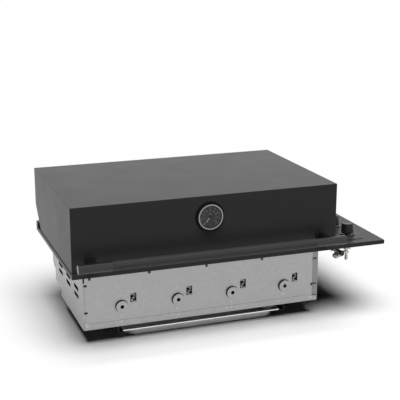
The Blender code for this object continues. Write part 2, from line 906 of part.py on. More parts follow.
def make_hinge_ear(name, x, parent):
    """The leaf on the hood's sloped back: a foot along the slope and an ear down to the pin."""
    out = Vector((1, -1)).normalized()
    along = Vector((1, 1)).normalized()
    pivot = Vector((pivot_y, pivot_height))
    reach = (pivot_y - pivot_height - (hood_depth - hood_rear_cut)) / math.sqrt(2)
    seat = pivot - out * (reach - gap)
    half = ear_foot_length / 2
    boss = ear_boss_diameter / 2
    outline = [tuple(seat + along * half), tuple(seat - along * half)]
    for step in range(2 * arc_steps + 1):
        angle = math.pi * step / (2 * arc_steps)
        outline.append(tuple(pivot + out * boss * math.sin(angle) - along * boss * math.cos(angle)))
    shape = bmesh.new()
    prism(shape, outline, "X", x - ear_thickness / 2, x + ear_thickness / 2)
    ear = piece(name, shape, dark_steel, parent, (x, pivot_y, pivot_height))
    foot = bmesh.new()
    corners = [
        seat + along * half, seat - along * half,
        seat - along * half + out * ear_foot_thickness, seat + along * half + out * ear_foot_thickness,
    ]
    prism(foot, [tuple(corner) for corner in corners], "X", x - ear_foot_width / 2, x + ear_foot_width / 2)
    combine(ear, foot, "UNION")
    hole = bmesh.new()
    wide = ear_thickness / 2 + overrun
    rod(
        hole, (x - wide, pivot_y, pivot_height), (x + wide, pivot_y, pivot_height),
        pin_diameter + 2 * pin_fit, small_steps,
    )
    combine(ear, hole, "DIFFERENCE")


# Handle
def fluted_outline(centre):
    """A bar's outline with flat lands and narrow grooves between them, as (y, z)."""
    outline = []
    for flute in range(flute_count):
        for share, sink in ((0, 0), (1 - flute_groove_share, 0), (1 - flute_groove_share / 2, flute_depth)):
            angle = math.tau * (flute + share) / flute_count
            radius = handle_diameter / 2 - sink
            outline.append((centre[0] + radius * math.cos(angle), centre[1] + radius * math.sin(angle)))
    return outline


def make_handle(parent):
    centre = (-handle_reach, handle_height)
    grip_half = handle_half_length - sleeve_length
    shape = bmesh.new()
    prism(shape, fluted_outline(centre), "X", -grip_half + gap, grip_half - gap)
    grip = piece("handle_grip", shape, handle_grey, parent, (0, *centre))
    core = bmesh.new()
    core_half = handle_half_length - core_end_wall - gap
    rod(core, (-core_half, *centre), (core_half, *centre), core_diameter)
    combine(grip, core, "UNION")
    bore = bmesh.new()
    bore_half = core_half + overrun
    rod(bore, (-bore_half, *centre), (bore_half, *centre), core_diameter - 2 * core_wall)
    combine(grip, bore, "DIFFERENCE")
    for name, side in (("left", -1), ("right", 1)):
        make_sleeve(f"handle_sleeve_{name}", side, centre, grip_half, parent)
        make_post(f"handle_post_{name}", side * post_x, parent)


def make_sleeve(name, side, centre, start, parent):
    end = start + sleeve_length
    outer = handle_diameter / 2
    bore = core_diameter / 2 + gap
    profile = [
        (0, end - core_end_wall), (bore, end - core_end_wall), (bore, start), (outer, start),
        (outer, end - sleeve_edge), (outer - sleeve_edge, end), (0, end),
    ]
    shape = bmesh.new()
    revolve(shape, mirrored_along(profile, side), "X", centre)
    piece(name, shape, handle_grey, parent, (side * start, *centre))


def mirrored_along(profile, side):
    return [(radius, side * along) for radius, along in profile]


def make_post(name, x, parent):
    """A turned standoff from the hood's face to the handle, with a saddle for the bar."""
    base = post_base_diameter / 2
    waist = post_waist_diameter / 2
    head = post_head_diameter / 2
    near = -handle_reach + post_saddle
    flare = -gap - post_base_thickness
    profile = [
        (0, -gap), (base, -gap), (base, flare), (waist, flare - post_base_thickness),
        (waist, near + 2 * post_base_thickness), (head, near + post_base_thickness), (head, near), (0, near),
    ]
    shape = bmesh.new()
    revolve(shape, profile, "Y", (x, handle_height))
    post = piece(name, shape, black_paint, parent, (x, 0, handle_height))
    saddle = bmesh.new()
    wide = head + overrun
    rod(
        saddle, (x - wide, -handle_reach, handle_height), (x + wide, -handle_reach, handle_height),
        handle_diameter + 2 * gap,
    )
    combine(post, saddle, "DIFFERENCE")


# Gauge
def make_gauge(parent):
    centre = (0, gauge_height)
    cup = gauge_ring_outer / 2
    recess = cup - gauge_wall
    boss = gauge_boss_diameter / 2
    probe = probe_diameter / 2
    floor = -gauge_floor_depth
    profile = [
        (0, floor), (recess, floor), (recess, -gauge_cup_depth), (cup, -gauge_cup_depth),
        (cup, -gauge_base_depth - gap), (gauge_base_diameter / 2, -gauge_base_depth / 2),
        (gauge_base_diameter / 2, -gap), (boss, -gap), (boss, gauge_boss_length),
        (probe, gauge_boss_length), (probe, gauge_boss_length + probe_length),
        (0, gauge_boss_length + probe_length),
    ]
    shape = bmesh.new()
    revolve(shape, profile, "Y", centre, fine_steps)
    piece("gauge_case", shape, black_plastic, parent, (0, 0, gauge_height))
    dial_back = floor - gap
    dial_front = dial_back - dial_thickness
    hole = needle_pin_diameter / 2 + gap
    profile = [
        (hole, dial_back), (recess - gap, dial_back), (recess - gap, dial_front), (hole, dial_front),
        (hole, dial_back),
    ]
    shape = bmesh.new()
    revolve(shape, profile, "Y", centre, fine_steps)
    piece("gauge_dial", shape, dial_black, parent, (0, 0, gauge_height))
    lens_front = -gauge_cup_depth
    profile = [
        (0, lens_front), (recess - gap, lens_front),
        (recess - gap, lens_front + lens_thickness), (0, lens_front + lens_thickness),
    ]
    shape = bmesh.new()
    revolve(shape, profile, "Y", centre, fine_steps)
    piece("gauge_lens", shape, lens_glass, parent, (0, 0, gauge_height))
    ring_back = -gauge_cup_depth - gap
    ring_front = ring_back - gauge_ring_depth
    inner = gauge_ring_inner / 2
    profile = [
        (inner, ring_back), (cup, ring_back), (cup, ring_front + gauge_ring_depth / 2),
        ((inner + cup) / 2, ring_front), (inner, ring_front + gauge_ring_depth / 2), (inner, ring_back),
    ]
    shape = bmesh.new()
    revolve(shape, profile, "Y", centre, fine_steps)
    piece("gauge_ring", shape, bright_steel, parent, (0, 0, gauge_height))
    make_needle(dial_front, parent)


def make_needle(dial_front, parent):
    back = dial_front - gap
    front = back - needle_thickness
    angle = math.radians(needle_rest_degrees)
    point = Vector((math.sin(angle), math.cos(angle)))
    across = Vector((point.y, -point.x))
    middle = Vector((0, gauge_height))
    outline = [
        middle + point * needle_length + across * needle_tip_width / 2,
        middle + point * needle_length - across * needle_tip_width / 2,
        middle - point * needle_tail - across * needle_width / 2,
        middle - point * needle_tail + across * needle_width / 2,
    ]
    shape = bmesh.new()
    prism(shape, [tuple(corner) for corner in outline], "Y", back, front)
    needle = piece("gauge_needle", shape, needle_white, parent, (0, back, gauge_height))
    hub = bmesh.new()
    disc = needle_hub_diameter / 2
    pin = needle_pin_diameter / 2
    profile = [
        (0, back + dial_thickness), (pin, back + dial_thickness), (pin, back), (disc, back),
        (disc, front - needle_thickness / 2), (0, front - needle_thickness / 2),
    ]
    revolve(hub, profile, "Y", (0, gauge_height), small_steps)
    combine(needle, hub, "UNION")


# Drip tray
def make_tray_rail(name, side, parent):
    web = tray_width / 2 + tray_side_clearance
    lip_top = -tray_rim_drop - tray_rim_thickness - gap
    path = [
        (web + tray_rail_flange, -body_height - gap), (web, -body_height - gap),
        (web, lip_top), (tray_width / 2 - tray_lip_overlap, lip_top),
    ]
    shape = bmesh.new()
    outline = mirrored(thicken(path, body_sheet), side)
    prism(shape, outline, "Y", tray_front, tray_front + tray_depth - tray_rim_width)
    piece(name, shape, galvanised, parent, (side * web, body_front, -body_height))


def make_drip_tray(parent):
    """A drawn pan: rings from the outer bottom up the wall, round the rim and down inside."""
    half_x = tray_width / 2
    half_y = tray_depth / 2
    wall = tray_rim_width
    bottom = -tray_bottom_drop
    rim_top = -tray_rim_drop
    rim_low = rim_top - tray_rim_thickness
    inside = bottom + tray_sheet
    flat = wall + tray_taper
    rings = [
        (flat + tray_bottom_round, bottom),
        (flat, bottom + tray_bottom_round),
        (wall, rim_low + tray_sheet),
        (tray_sheet * 2, rim_low + tray_sheet),
        (tray_sheet, rim_low),
        (0, rim_low + tray_sheet),
        (0, rim_top - tray_sheet),
        (tray_sheet, rim_top),
        (wall - tray_sheet, rim_top),
        (wall + tray_sheet, rim_top - 2 * tray_sheet),
        (flat + tray_sheet, bottom + tray_bottom_round + tray_sheet / 2),
        (flat + tray_bottom_round + tray_sheet, inside),
    ]
    shape = bmesh.new()
    middle = (0, tray_middle_y)
    loops = [
        rounded_loop(shape, middle, half_x - inset, half_y - inset, tray_corner - inset / 2, height)
        for inset, height in rings
    ]
    for lower, upper in zip(loops, loops[1:]):
        for index, vertex in enumerate(lower):
            after = (index + 1) % len(lower)
            shape.faces.new((vertex, lower[after], upper[after], upper[index]))
    shape.faces.new(loops[0][::-1])
    shape.faces.new(loops[-1])
    bmesh.ops.recalc_face_normals(shape, faces=shape.faces)
    piece("drip_tray", shape, tray_steel, parent, (0, tray_front, rim_top))


# Finishes: colour, roughness, metallic
black_paint = ((0.033, 0.033, 0.034), 0.45, 0)
galvanised = ((0.56, 0.56, 0.56), 0.38, 1)
burner_steel = ((0.60, 0.59, 0.57), 0.35, 1)
bright_steel = ((0.70, 0.70, 0.70), 0.25, 1)
dark_steel = ((0.05, 0.05, 0.05), 0.40, 1)
tray_steel = ((0.62, 0.64, 0.62), 0.28, 1)
cast_iron = ((0.030, 0.030, 0.032), 0.55, 0)
black_plastic = ((0.022, 0.022, 0.023), 0.35, 0)
handle_grey = ((0.075, 0.078, 0.080), 0.40, 0)
brass = ((0.66, 0.60, 0.44), 0.30, 1)
dial_black = ((0.012, 0.012, 0.012), 0.50, 0)
needle_white = ((0.75, 0.75, 0.73), 0.50, 0)
lens_glass = ((0.90, 0.92, 0.92), 0.03, 0)


# The whole grill
def make_grill():
    clear_scene()
    assembly = frame_empty("assembly", (0, 0, 0))
    hood_pivot = frame_empty("hood_pivot", (0, pivot_y, pivot_height), assembly)
    make_cover_plate(assembly)
    make_rear_rail(assembly)
    for name, side in (("left", -1), ("right", 1)):
        make_hinge_knuckle(f"hinge_knuckle_{name}", side * hinge_x, assembly)
        make_side_panel(f"side_panel_{name}", side, assembly)
        make_tray_rail(f"tray_rail_{name}", side, assembly)
        make_hinge_ear(f"hinge_ear_{name}", side * hinge_x, hood_pivot)
    make_front_panel(assembly)
    make_floor_pan(assembly)
    make_rear_panel(assembly)
    make_ledges(assembly)
    make_burner_carrier(assembly)
    for number, x in enumerate(burner_places, 1):
        make_burner(f"burner_{number}", x, assembly)
        make_flame_tamer(f"flame_tamer_{number}", x, assembly)
        make_igniter(f"igniter_{number}", x, assembly)
    for index in range(grate_count):
        make_cooking_grate(f"cooking_grate_{index + 1}", index, assembly)
    make_manifold(assembly)
    for number, y in enumerate(knob_places, 1):
        make_gas_valve(f"gas_valve_{number}", y, assembly)
        make_bezel(f"knob_bezel_{number}", y, assembly)
        make_stem(f"valve_stem_{number}", y, assembly)
        make_knob(f"knob_{number}", y, assembly)
    make_hood_shell(hood_pivot)
    make_handle(hood_pivot)
    make_gauge(hood_pivot)
    make_drip_tray(assembly)


make_grill()
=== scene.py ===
import json
import math

import bmesh
import bpy
from mathutils import Matrix, Vector
from mathutils.bvhtree import BVHTree

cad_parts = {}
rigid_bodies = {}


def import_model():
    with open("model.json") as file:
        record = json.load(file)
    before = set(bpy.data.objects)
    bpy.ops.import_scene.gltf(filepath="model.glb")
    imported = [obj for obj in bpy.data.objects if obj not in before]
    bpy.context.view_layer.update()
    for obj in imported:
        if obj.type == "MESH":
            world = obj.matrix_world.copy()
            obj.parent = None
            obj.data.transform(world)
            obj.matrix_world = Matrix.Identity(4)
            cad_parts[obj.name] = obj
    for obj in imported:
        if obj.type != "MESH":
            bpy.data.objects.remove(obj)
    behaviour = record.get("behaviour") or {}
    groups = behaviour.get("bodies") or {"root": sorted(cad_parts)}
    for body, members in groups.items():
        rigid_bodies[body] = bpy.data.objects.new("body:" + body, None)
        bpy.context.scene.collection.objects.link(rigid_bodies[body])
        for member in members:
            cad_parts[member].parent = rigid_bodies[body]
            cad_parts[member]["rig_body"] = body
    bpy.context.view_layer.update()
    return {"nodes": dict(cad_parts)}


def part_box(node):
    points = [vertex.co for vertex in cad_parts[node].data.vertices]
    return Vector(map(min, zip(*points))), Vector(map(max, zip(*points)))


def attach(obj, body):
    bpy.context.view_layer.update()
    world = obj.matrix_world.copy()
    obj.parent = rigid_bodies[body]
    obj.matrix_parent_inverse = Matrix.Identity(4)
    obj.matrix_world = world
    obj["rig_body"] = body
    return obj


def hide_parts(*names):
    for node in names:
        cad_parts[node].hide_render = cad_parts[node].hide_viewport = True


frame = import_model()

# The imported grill, and the places that everything below is set out from
nodes = frame["nodes"]
scene = bpy.context.scene
hoodLow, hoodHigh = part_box("hood_shell")
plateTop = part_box("cover_plate")[1].z
origin = Vector(((hoodLow.x + hoodHigh.x) / 2, hoodLow.y, plateTop))
print("frame loaded:", len(nodes), "nodes")


def at(x, y, z):  # a place measured from the middle of the hood's front face, level with the plate's top
    return origin + Vector((x, y, z))


def middleOf(node):
    low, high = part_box(node)
    return (low + high) / 2


def surfaceOf(names):  # the outside of some nodes, to lay small parts on
    shape = bmesh.new()
    for name in names:
        shape.from_mesh(nodes[name].data)
    tree = BVHTree.FromBMesh(shape)
    shape.free()
    return tree


def meshFrom(name, shape):
    mesh = bpy.data.meshes.new(name)
    shape.to_mesh(mesh)
    shape.free()
    return mesh


def addObject(name, data):
    made = bpy.data.objects.new(name, data)
    scene.collection.objects.link(made)
    return made


# What the studio and the finishes share
def grey(value):
    return value, value, value


def feed(tree, value, socket):  # a plain number is set, anything else is linked
    if isinstance(value, (int, float)):
        socket.default_value = value
    else:
        tree.links.new(value, socket)


def setAll(inputs, values):
    for title, value in values.items():
        inputs[title].default_value = value


def mathNode(tree, operation, first, second):
    node = tree.nodes.new("ShaderNodeMath")
    node.operation = operation
    feed(tree, first, node.inputs[0])
    feed(tree, second, node.inputs[1])
    return node.outputs[0]


def shadeBetween(tree, factor, dark, light, socket):
    mix = tree.nodes.new("ShaderNodeMix")
    mix.data_type = "RGBA"
    feed(tree, factor, mix.inputs["Factor"])
    mix.inputs["A"].default_value = (*dark, 1)
    mix.inputs["B"].default_value = (*light, 1)
    feed(tree, mix.outputs["Result"], socket)


def startMaterial(name, settings):
    material = bpy.data.materials.new(name)
    material.use_nodes = True
    inputs = material.node_tree.nodes["Principled BSDF"].inputs
    setAll(inputs, settings)
    return material, material.node_tree, inputs


# Camera, floor and light
cameraView = {
    "spot": (-1.0618, -2.83335, 1.1799), "tilt": 74.921, "turn": -19.955, "lens": 86.99, "film": 36,
}
studio = {
    "floorSize": 60, "floorBounce": grey(0.25), "floorColour": grey(0.98),
    "domeStrength": 3.3, "domeSoftness": 45, "domeTurn": (15, 0, -3),
}


def makeCamera():
    data = bpy.data.cameras.new("photoCamera")
    data.lens = cameraView["lens"]
    data.sensor_width = cameraView["film"]
    data.clip_end = studio["floorSize"]
    camera = addObject("photoCamera", data)
    camera.location = cameraView["spot"]
    camera.rotation_euler = (math.radians(cameraView["tilt"]), 0, math.radians(cameraView["turn"]))
    scene.camera = camera


def makeDomeLight():
    light = bpy.data.lights.new("domeLight", "SUN")
    light.energy = studio["domeStrength"]
    light.angle = math.radians(studio["domeSoftness"])
    lamp = addObject("domeLight", light)
    lamp.rotation_euler = [math.radians(part) for part in studio["domeTurn"]]
    lamp.visible_glossy = False


def seenDirectly(tree):  # 1 where the camera looks, straight or by way of metal or glass
    path = tree.nodes.new("ShaderNodeLightPath").outputs
    undimmed = mathNode(tree, "LESS_THAN", path["Diffuse Depth"], 0.5)
    mirrored = mathNode(tree, "MULTIPLY", path["Is Glossy Ray"], undimmed)
    seen = mathNode(tree, "MAXIMUM", path["Is Camera Ray"], mirrored)
    return mathNode(tree, "MAXIMUM", seen, path["Is Transmission Ray"])


def makeWorld():
    world = bpy.data.worlds.new("whiteRoom")
    scene.world = world
    world.use_nodes = True
    inputs = world.node_tree.nodes["Background"].inputs
    inputs["Color"].default_value = (1, 1, 1, 1)
    feed(world.node_tree, seenDirectly(world.node_tree), inputs["Strength"])


def makeFloor():
    shape = bmesh.new()
    bmesh.ops.create_grid(shape, x_segments=1, y_segments=1, size=studio["floorSize"])
    floor = addObject("floor", meshFrom("floor", shape))
    material, tree, inputs = startMaterial("paleFloor", {"Roughness": 1, "Specular IOR Level": 0})
    shadeBetween(tree, seenDirectly(tree), studio["floorBounce"], studio["floorColour"], inputs["Base Color"])
    floor.data.materials.append(material)


scene.view_settings.view_transform = "Standard"
makeCamera()
makeWorld()
makeDomeLight()
makeFloor()
print("camera and studio ready")


# Shader effects that several finishes share
def startGroup(name, inputs, outputs):
    group = bpy.data.node_groups.new(name, "ShaderNodeTree")
    for title, value in inputs.items():
        socket = group.interface.new_socket(title, in_out="INPUT", socket_type="NodeSocketFloat")
        socket.default_value = value
    for title in outputs:
        group.interface.new_socket(title, in_out="OUTPUT", socket_type="NodeSocketFloat")
    given, result = group.nodes.new("NodeGroupInput"), group.nodes.new("NodeGroupOutput")
    return group, given.outputs, result.inputs, group.nodes.new("ShaderNodeTexCoord").outputs["Object"]


def noiseNode(tree, vector, scale, detail, roughness=0.5):
    node = tree.nodes.new("ShaderNodeTexNoise")
    feed(tree, vector, node.inputs["Vector"])
    feed(tree, scale, node.inputs["Scale"])
    setAll(node.inputs, {"Detail": detail, "Roughness": roughness})
    return node.outputs["Fac"]


def makePowderGroup():  # the fine orange peel of a powder coat, and its slight unevenness
    group, given, result, place = startGroup(
        "powderGrain", {"Grain Scale": 900, "Patch Scale": 9}, ("Height", "Patch"),
    )
    feed(group, noiseNode(group, place, given["Grain Scale"], detail=2), result["Height"])
    feed(group, noiseNode(group, place, given["Patch Scale"], detail=3), result["Patch"])
    return group


def makeBrushedGroup():  # fine lines along one direction, left by rolling, drawing or polishing
    group, given, result, place = startGroup(
        "brushedLines", {"Along X": 1, "Along Y": 1, "Along Z": 1, "Line Scale": 1800}, ("Lines", "Cloud"),
    )
    stretch = group.nodes.new("ShaderNodeCombineXYZ")
    for title in ("X", "Y", "Z"):
        feed(group, given["Along " + title], stretch.inputs[title])
    spread = group.nodes.new("ShaderNodeVectorMath")
    spread.operation = "MULTIPLY"
    feed(group, place, spread.inputs[0])
    feed(group, stretch.outputs[0], spread.inputs[1])
    feed(group, noiseNode(group, spread.outputs[0], given["Line Scale"], detail=3), result["Lines"])
    feed(group, noiseNode(group, place, scale=22, detail=3), result["Cloud"])
    return group


def makeSpangleGroup():  # zinc crystals: flat cells of slightly unlike brightness
    group, given, result, place = startGroup(
        "zincSpangle", {"Cell Scale": 160, "Smear Scale": 14}, ("Shade", "Smear", "Height"),
    )
    reach = 0.02  # the share by which the cells' edges sway
    sway = mathNode(group, "MULTIPLY", noiseNode(group, place, scale=60, detail=3), reach)
    push = group.nodes.new("ShaderNodeVectorMath")
    push.operation = "SCALE"
    feed(group, place, push.inputs[0])
    feed(group, mathNode(group, "ADD", sway, 1 - reach / 2), push.inputs["Scale"])
    cells = group.nodes.new("ShaderNodeTexVoronoi")
    feed(group, push.outputs[0], cells.inputs["Vector"])
    feed(group, given["Cell Scale"], cells.inputs["Scale"])
    tone = group.nodes.new("ShaderNodeSeparateColor")
    feed(group, cells.outputs["Color"], tone.inputs["Color"])
    feed(group, tone.outputs["Red"], result["Shade"])
    feed(group, noiseNode(group, place, given["Smear Scale"], detail=4), result["Smear"])
    feed(group, noiseNode(group, place, scale=700, detail=2), result["Height"])
    return group


def makeCastGroup():  # the rough skin of a casting
    group, given, result, place = startGroup("castSkin", {"Pit Scale": 420}, ("Height", "Speck"))
    feed(group, noiseNode(group, place, given["Pit Scale"], detail=5, roughness=0.65), result["Height"])
    feed(group, noiseNode(group, place, scale=1500, detail=1), result["Speck"])
    return group


powderGrain = makePowderGroup()
brushedLines = makeBrushedGroup()
zincSpangle = makeSpangleGroup()
castSkin = makeCastGroup()


# Finishes: each is one material, whose patterns read the shared effects
def placeGroup(tree, group, settings=None):  # without settings it keeps the group's own values
    node = tree.nodes.new("ShaderNodeGroup")
    node.node_tree = group
    setAll(node.inputs, settings or {})
    return node.outputs


def spreadValue(tree, value, middle, reach, socket):  # most of a noise lies between 0.3 and 0.7
    node = tree.nodes.new("ShaderNodeMapRange")
    limits = {"From Min": 0.3, "From Max": 0.7, "To Min": middle - reach, "To Max": middle + reach}
    setAll(node.inputs, limits)
    feed(tree, value, node.inputs["Value"])
    feed(tree, node.outputs["Result"], socket)


def bumpFrom(tree, height, depth, socket):
    bump = tree.nodes.new("ShaderNodeBump")
    setAll(bump.inputs, {"Strength": 1, "Distance": depth})
    feed(tree, height, bump.inputs["Height"])
    feed(tree, bump.outputs["Normal"], socket)


paintReach, zincReach, steelReach, castReach = 0.02, 0.03, 0.04, 0.08  # how far each roughness varies
zincDepth, steelDepth, castDepth = 0.00001, 0.000008, 0.0003
zincShares = {"Shade": 0.25, "Smear": 0.25, "Lines": 0.5}


def makePaint(name, dark, light, rough, depth, specular):
    material, tree, inputs = startMaterial(name, {"Specular IOR Level": specular})
    grain = placeGroup(tree, powderGrain)
    shadeBetween(tree, grain["Patch"], dark, light, inputs["Base Color"])
    spreadValue(tree, grain["Patch"], rough, paintReach, inputs["Roughness"])
    bumpFrom(tree, grain["Height"], depth, inputs["Normal"])
    return material


def makeZinc(name, dark, light, rough):
    material, tree, inputs = startMaterial(name, {"Metallic": 1})
    zinc = placeGroup(tree, zincSpangle)
    lines = placeGroup(tree, brushedLines, {"Along X": 0.12, "Along Y": 0.12, "Line Scale": 2400})
    cells = mathNode(tree, "MULTIPLY", zinc["Shade"], zincShares["Shade"])
    clouds = mathNode(tree, "MULTIPLY", zinc["Smear"], zincShares["Smear"])
    rolled = mathNode(tree, "MULTIPLY", lines["Lines"], zincShares["Lines"])
    blended = mathNode(tree, "ADD", mathNode(tree, "ADD", cells, clouds), rolled)
    shadeBetween(tree, blended, dark, light, inputs["Base Color"])
    spreadValue(tree, zinc["Shade"], rough, zincReach, inputs["Roughness"])
    bumpFrom(tree, zinc["Height"], zincDepth, inputs["Normal"])
    return material


def makeBrushed(name, dark, light, rough, along):
    material, tree, inputs = startMaterial(name, {"Metallic": 1})
    lines = placeGroup(tree, brushedLines, {"Along X": along[0], "Along Y": along[1], "Along Z": along[2]})
    shadeBetween(tree, lines["Lines"], dark, light, inputs["Base Color"])
    spreadValue(tree, lines["Cloud"], rough, steelReach, inputs["Roughness"])
    bumpFrom(tree, lines["Lines"], steelDepth, inputs["Normal"])
    return material


def makeCast(name, dark, light, rough, specular):
    material, tree, inputs = startMaterial(name, {"Specular IOR Level": specular})
    skin = placeGroup(tree, castSkin)
    shadeBetween(tree, skin["Speck"], dark, light, inputs["Base Color"])
    spreadValue(tree, skin["Height"], rough, castReach, inputs["Roughness"])
    bumpFrom(tree, skin["Height"], castDepth, inputs["Normal"])
    return material


def makeGlass(name, rough, ior):
    settings = {"Base Color": (1, 1, 1, 1), "Roughness": rough, "IOR": ior, "Transmission Weight": 1}
    return startMaterial(name, settings)[0]


paints = {  # slot in the record, dark and light tone, roughness, grain's depth, specular level
    "blackPaint": ("black_paint", grey(0.035), grey(0.039), 0.35, 0.00003, 0.14),
    "postBlack": ("black_paint", grey(0.005), grey(0.007), 0.4, 0.00001, 0.16),
    "handleGrey": ("handle_grey", (0.026, 0.027, 0.028), (0.032, 0.033, 0.034), 0.42, 0.00001, 0.4),
    "sleeveGrey": ("handle_grey", (0.013, 0.013, 0.014), (0.016, 0.016, 0.017), 0.13, 0.000004, 0.55),
    "blackPlastic": ("black_plastic", grey(0.030), grey(0.036), 0.38, 0.00002, 0.25),
    # painted light: a lighter copy of the knob's black plastic, for the top that catches more light
    "knobTop": ("black_plastic", grey(0.066), grey(0.074), 0.42, 0.00001, 0.45),
    "caseBlack": ("black_plastic", grey(0.003), grey(0.004), 0.6, 0.00001, 0.1),
    "dialBlack": ("dial_black", grey(0.014), grey(0.018), 0.6, 0.000002, 0.2),
    "printGrey": ("dial_black", grey(0.22), grey(0.26), 0.6, 0.000002, 0.2),
    "needleWhite": ("needle_white", (0.40, 0.41, 0.40), (0.46, 0.47, 0.46), 0.5, 0.000002, 0.5),
    "ceramic": ("needle_white", (0.62, 0.60, 0.56), (0.70, 0.68, 0.64), 0.35, 0.00001, 0.5),
}
sheets = {  # slot, dark and light tone, roughness
    "galvanisedSheet": ("galvanised", grey(0.30), grey(0.45), 0.40),
    # painted shade: a darker copy of the same zinc, for the folded strip that lies in shade
    "foldedSheet": ("galvanised", grey(0.19), grey(0.30), 0.42),
    # painted shade: the rails' zinc is coloured nearly black for the deep shadow under the firebox
    "railSheet": ("galvanised", grey(0.05), grey(0.08), 0.42),
}
metals = {  # slot, dark and light tone, roughness, how fast the pattern runs along x, y and z
    "burnerSteel": ("burner_steel", (0.34, 0.34, 0.335), (0.42, 0.42, 0.41), 0.38, (1, 0.03, 1)),
    "brightSteel": ("bright_steel", (0.46, 0.46, 0.455), (0.56, 0.56, 0.55), 0.28, (1, 1, 1)),
    "screwSteel": ("bright_steel", (0.72, 0.72, 0.71), (0.80, 0.80, 0.79), 0.34, (1, 1, 1)),
    "ringSteel": ("bright_steel", (0.30, 0.29, 0.28), (0.38, 0.37, 0.36), 0.34, (1, 1, 1)),
    "knobSteel": ("bright_steel", grey(0.11), grey(0.17), 0.28, (1, 1, 1)),
    "darkSteel": ("dark_steel", grey(0.03), grey(0.05), 0.4, (0.05, 1, 1)),
    "traySteel": ("tray_steel", (0.68, 0.70, 0.70), (0.78, 0.80, 0.80), 0.45, (0.03, 1, 1)),
    # painted highlight: a lighter, glossier copy of the tray steel over the rolled rim; the lighter colour
    # paints the rim's bright line
    "beadSteel": ("tray_steel", grey(0.88), grey(0.94), 0.16, (0.03, 1, 1)),
    # painted shade: a darker copy of the tray steel, for a film over the pan's inside where the firebox
    # shades it
    "linerSteel": ("tray_steel", (0.44, 0.46, 0.46), (0.50, 0.52, 0.52), 0.5, (1, 0.05, 1)),
    "paleBrass": ("brass", (0.40, 0.395, 0.38), (0.52, 0.51, 0.49), 0.32, (1, 1, 0.1)),
}
castings = {"castIron": ("cast_iron", grey(0.012), grey(0.022), 0.55, 0.35)}  # also specular level
glasses = {"gaugeGlass": ("lens_glass", 0.02, 1.25)}  # slot, roughness, refraction
makers = {
    makePaint: paints, makeZinc: sheets, makeBrushed: metals, makeCast: castings, makeGlass: glasses,
}
finishes, slotOf = {}, {}
for make, table in makers.items():
    for name, (slot, *settings) in table.items():
        finishes[name], slotOf[name] = make(name, *settings), slot
print("finishes ready:", len(finishes))


# Making pieces
mergeDistance = 0.000002
sharpAngle, flatAngle = math.radians(32), math.radians(0.4)
foldRule = {"length": 0.1, "room": 1.5, "segments": 4}
toward = {
    "left": Vector((-1, 0, 0)), "right": Vector((1, 0, 0)), "front": Vector((0, -1, 0)),
    "back": Vector((0, 1, 0)), "up": Vector((0, 0, 1)),
}
facing = {
    "front": Matrix.Rotation(math.radians(90), 4, "X"),
    "left": Matrix.Rotation(math.radians(-90), 4, "Y"),
    "right": Matrix.Rotation(math.radians(90), 4, "Y"),
}


def addPiece(name, shape, finish, node, stands=False):  # it moves with the node, and can stand in for it
    piece = addObject(name, meshFrom(name, shape))
    piece.data.shade_smooth()
    piece.data.set_sharp_from_angle(angle=sharpAngle)
    piece.data.materials.append(finishes[finish])
    piece.modifiers.new("evenShading", "WEIGHTED_NORMAL").keep_sharp = True
    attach(piece, nodes[node]["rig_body"])
    if stands:
        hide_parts(node)


def sharpEdges(shape):
    return [
        edge for edge in shape.edges
        if len(edge.link_faces) == 2 and edge.calc_face_angle(0) > sharpAngle
    ]


def roundEdges(shape, edges, width, segments=2):
    bmesh.ops.bevel(
        shape, geom=edges, offset=width, offset_type="OFFSET", segments=segments, profile=0.5,
        affect="EDGES", clamp_overlap=True, material=-1,
    )


def narrowSide(face):
    return face.calc_area() / max(side.calc_length() for side in face.edges)


def softened(node, finish, edge, fold):  # a copy of a frame's node with worked edges
    shape = bmesh.new()
    shape.from_mesh(nodes[node].data)
    bmesh.ops.remove_doubles(shape, verts=shape.verts, dist=mergeDistance)
    bmesh.ops.dissolve_limit(shape, angle_limit=flatAngle, verts=shape.verts, edges=shape.edges)
    if fold:
        room = foldRule["room"] * fold
        folds = [
            found for found in sharpEdges(shape) if found.calc_length() > foldRule["length"]
            and all(narrowSide(face) > room for face in found.link_faces)
        ]
        roundEdges(shape, folds, fold, foldRule["segments"])
    roundEdges(shape, sharpEdges(shape), edge)
    addPiece(node + "_finished", shape, finish, node, True)


def closeSeams(shape):
    bmesh.ops.remove_doubles(shape, verts=shape.verts, dist=mergeDistance)
    bmesh.ops.recalc_face_normals(shape, faces=shape.faces)


def turned(shape, profile, aim, centre, steps, closed=False):  # radii, and lengths along the aim
    away = toward["right"] if aim == "up" else toward["up"]
    made = [
        shape.verts.new(Vector(centre) + toward[aim] * along + away * radius) for radius, along in profile
    ]
    pairs = list(zip(made, made[1:]))
    if closed:
        pairs.append((made[-1], made[0]))
    edges = [shape.edges.new(pair) for pair in pairs]
    bmesh.ops.spin(
        shape, geom=made + edges, cent=centre, axis=toward[aim], dvec=(0, 0, 0),
        angle=2 * math.pi, steps=steps, use_merge=True, use_duplicate=False,
    )
    closeSeams(shape)


def addTurned(name, profile, aim, centre, steps, finish, node, stands=False, closed=False):
    shape = bmesh.new()
    turned(shape, profile, aim, centre, steps, closed)
    addPiece(name, shape, finish, node, stands)


def arc(middleRadius, middleAlong, radius, start, end, steps=6):  # points of a rounded corner in a profile
    turns = [math.radians(start + (end - start) * step / steps) for step in range(steps + 1)]
    return [(middleRadius + radius * math.cos(turn), middleAlong + radius * math.sin(turn)) for turn in turns]


def onlyVerts(geometry):
    return [item for item in geometry if isinstance(item, bmesh.types.BMVert)]


def onlyEdges(geometry):
    return [item for item in geometry if isinstance(item, bmesh.types.BMEdge)]


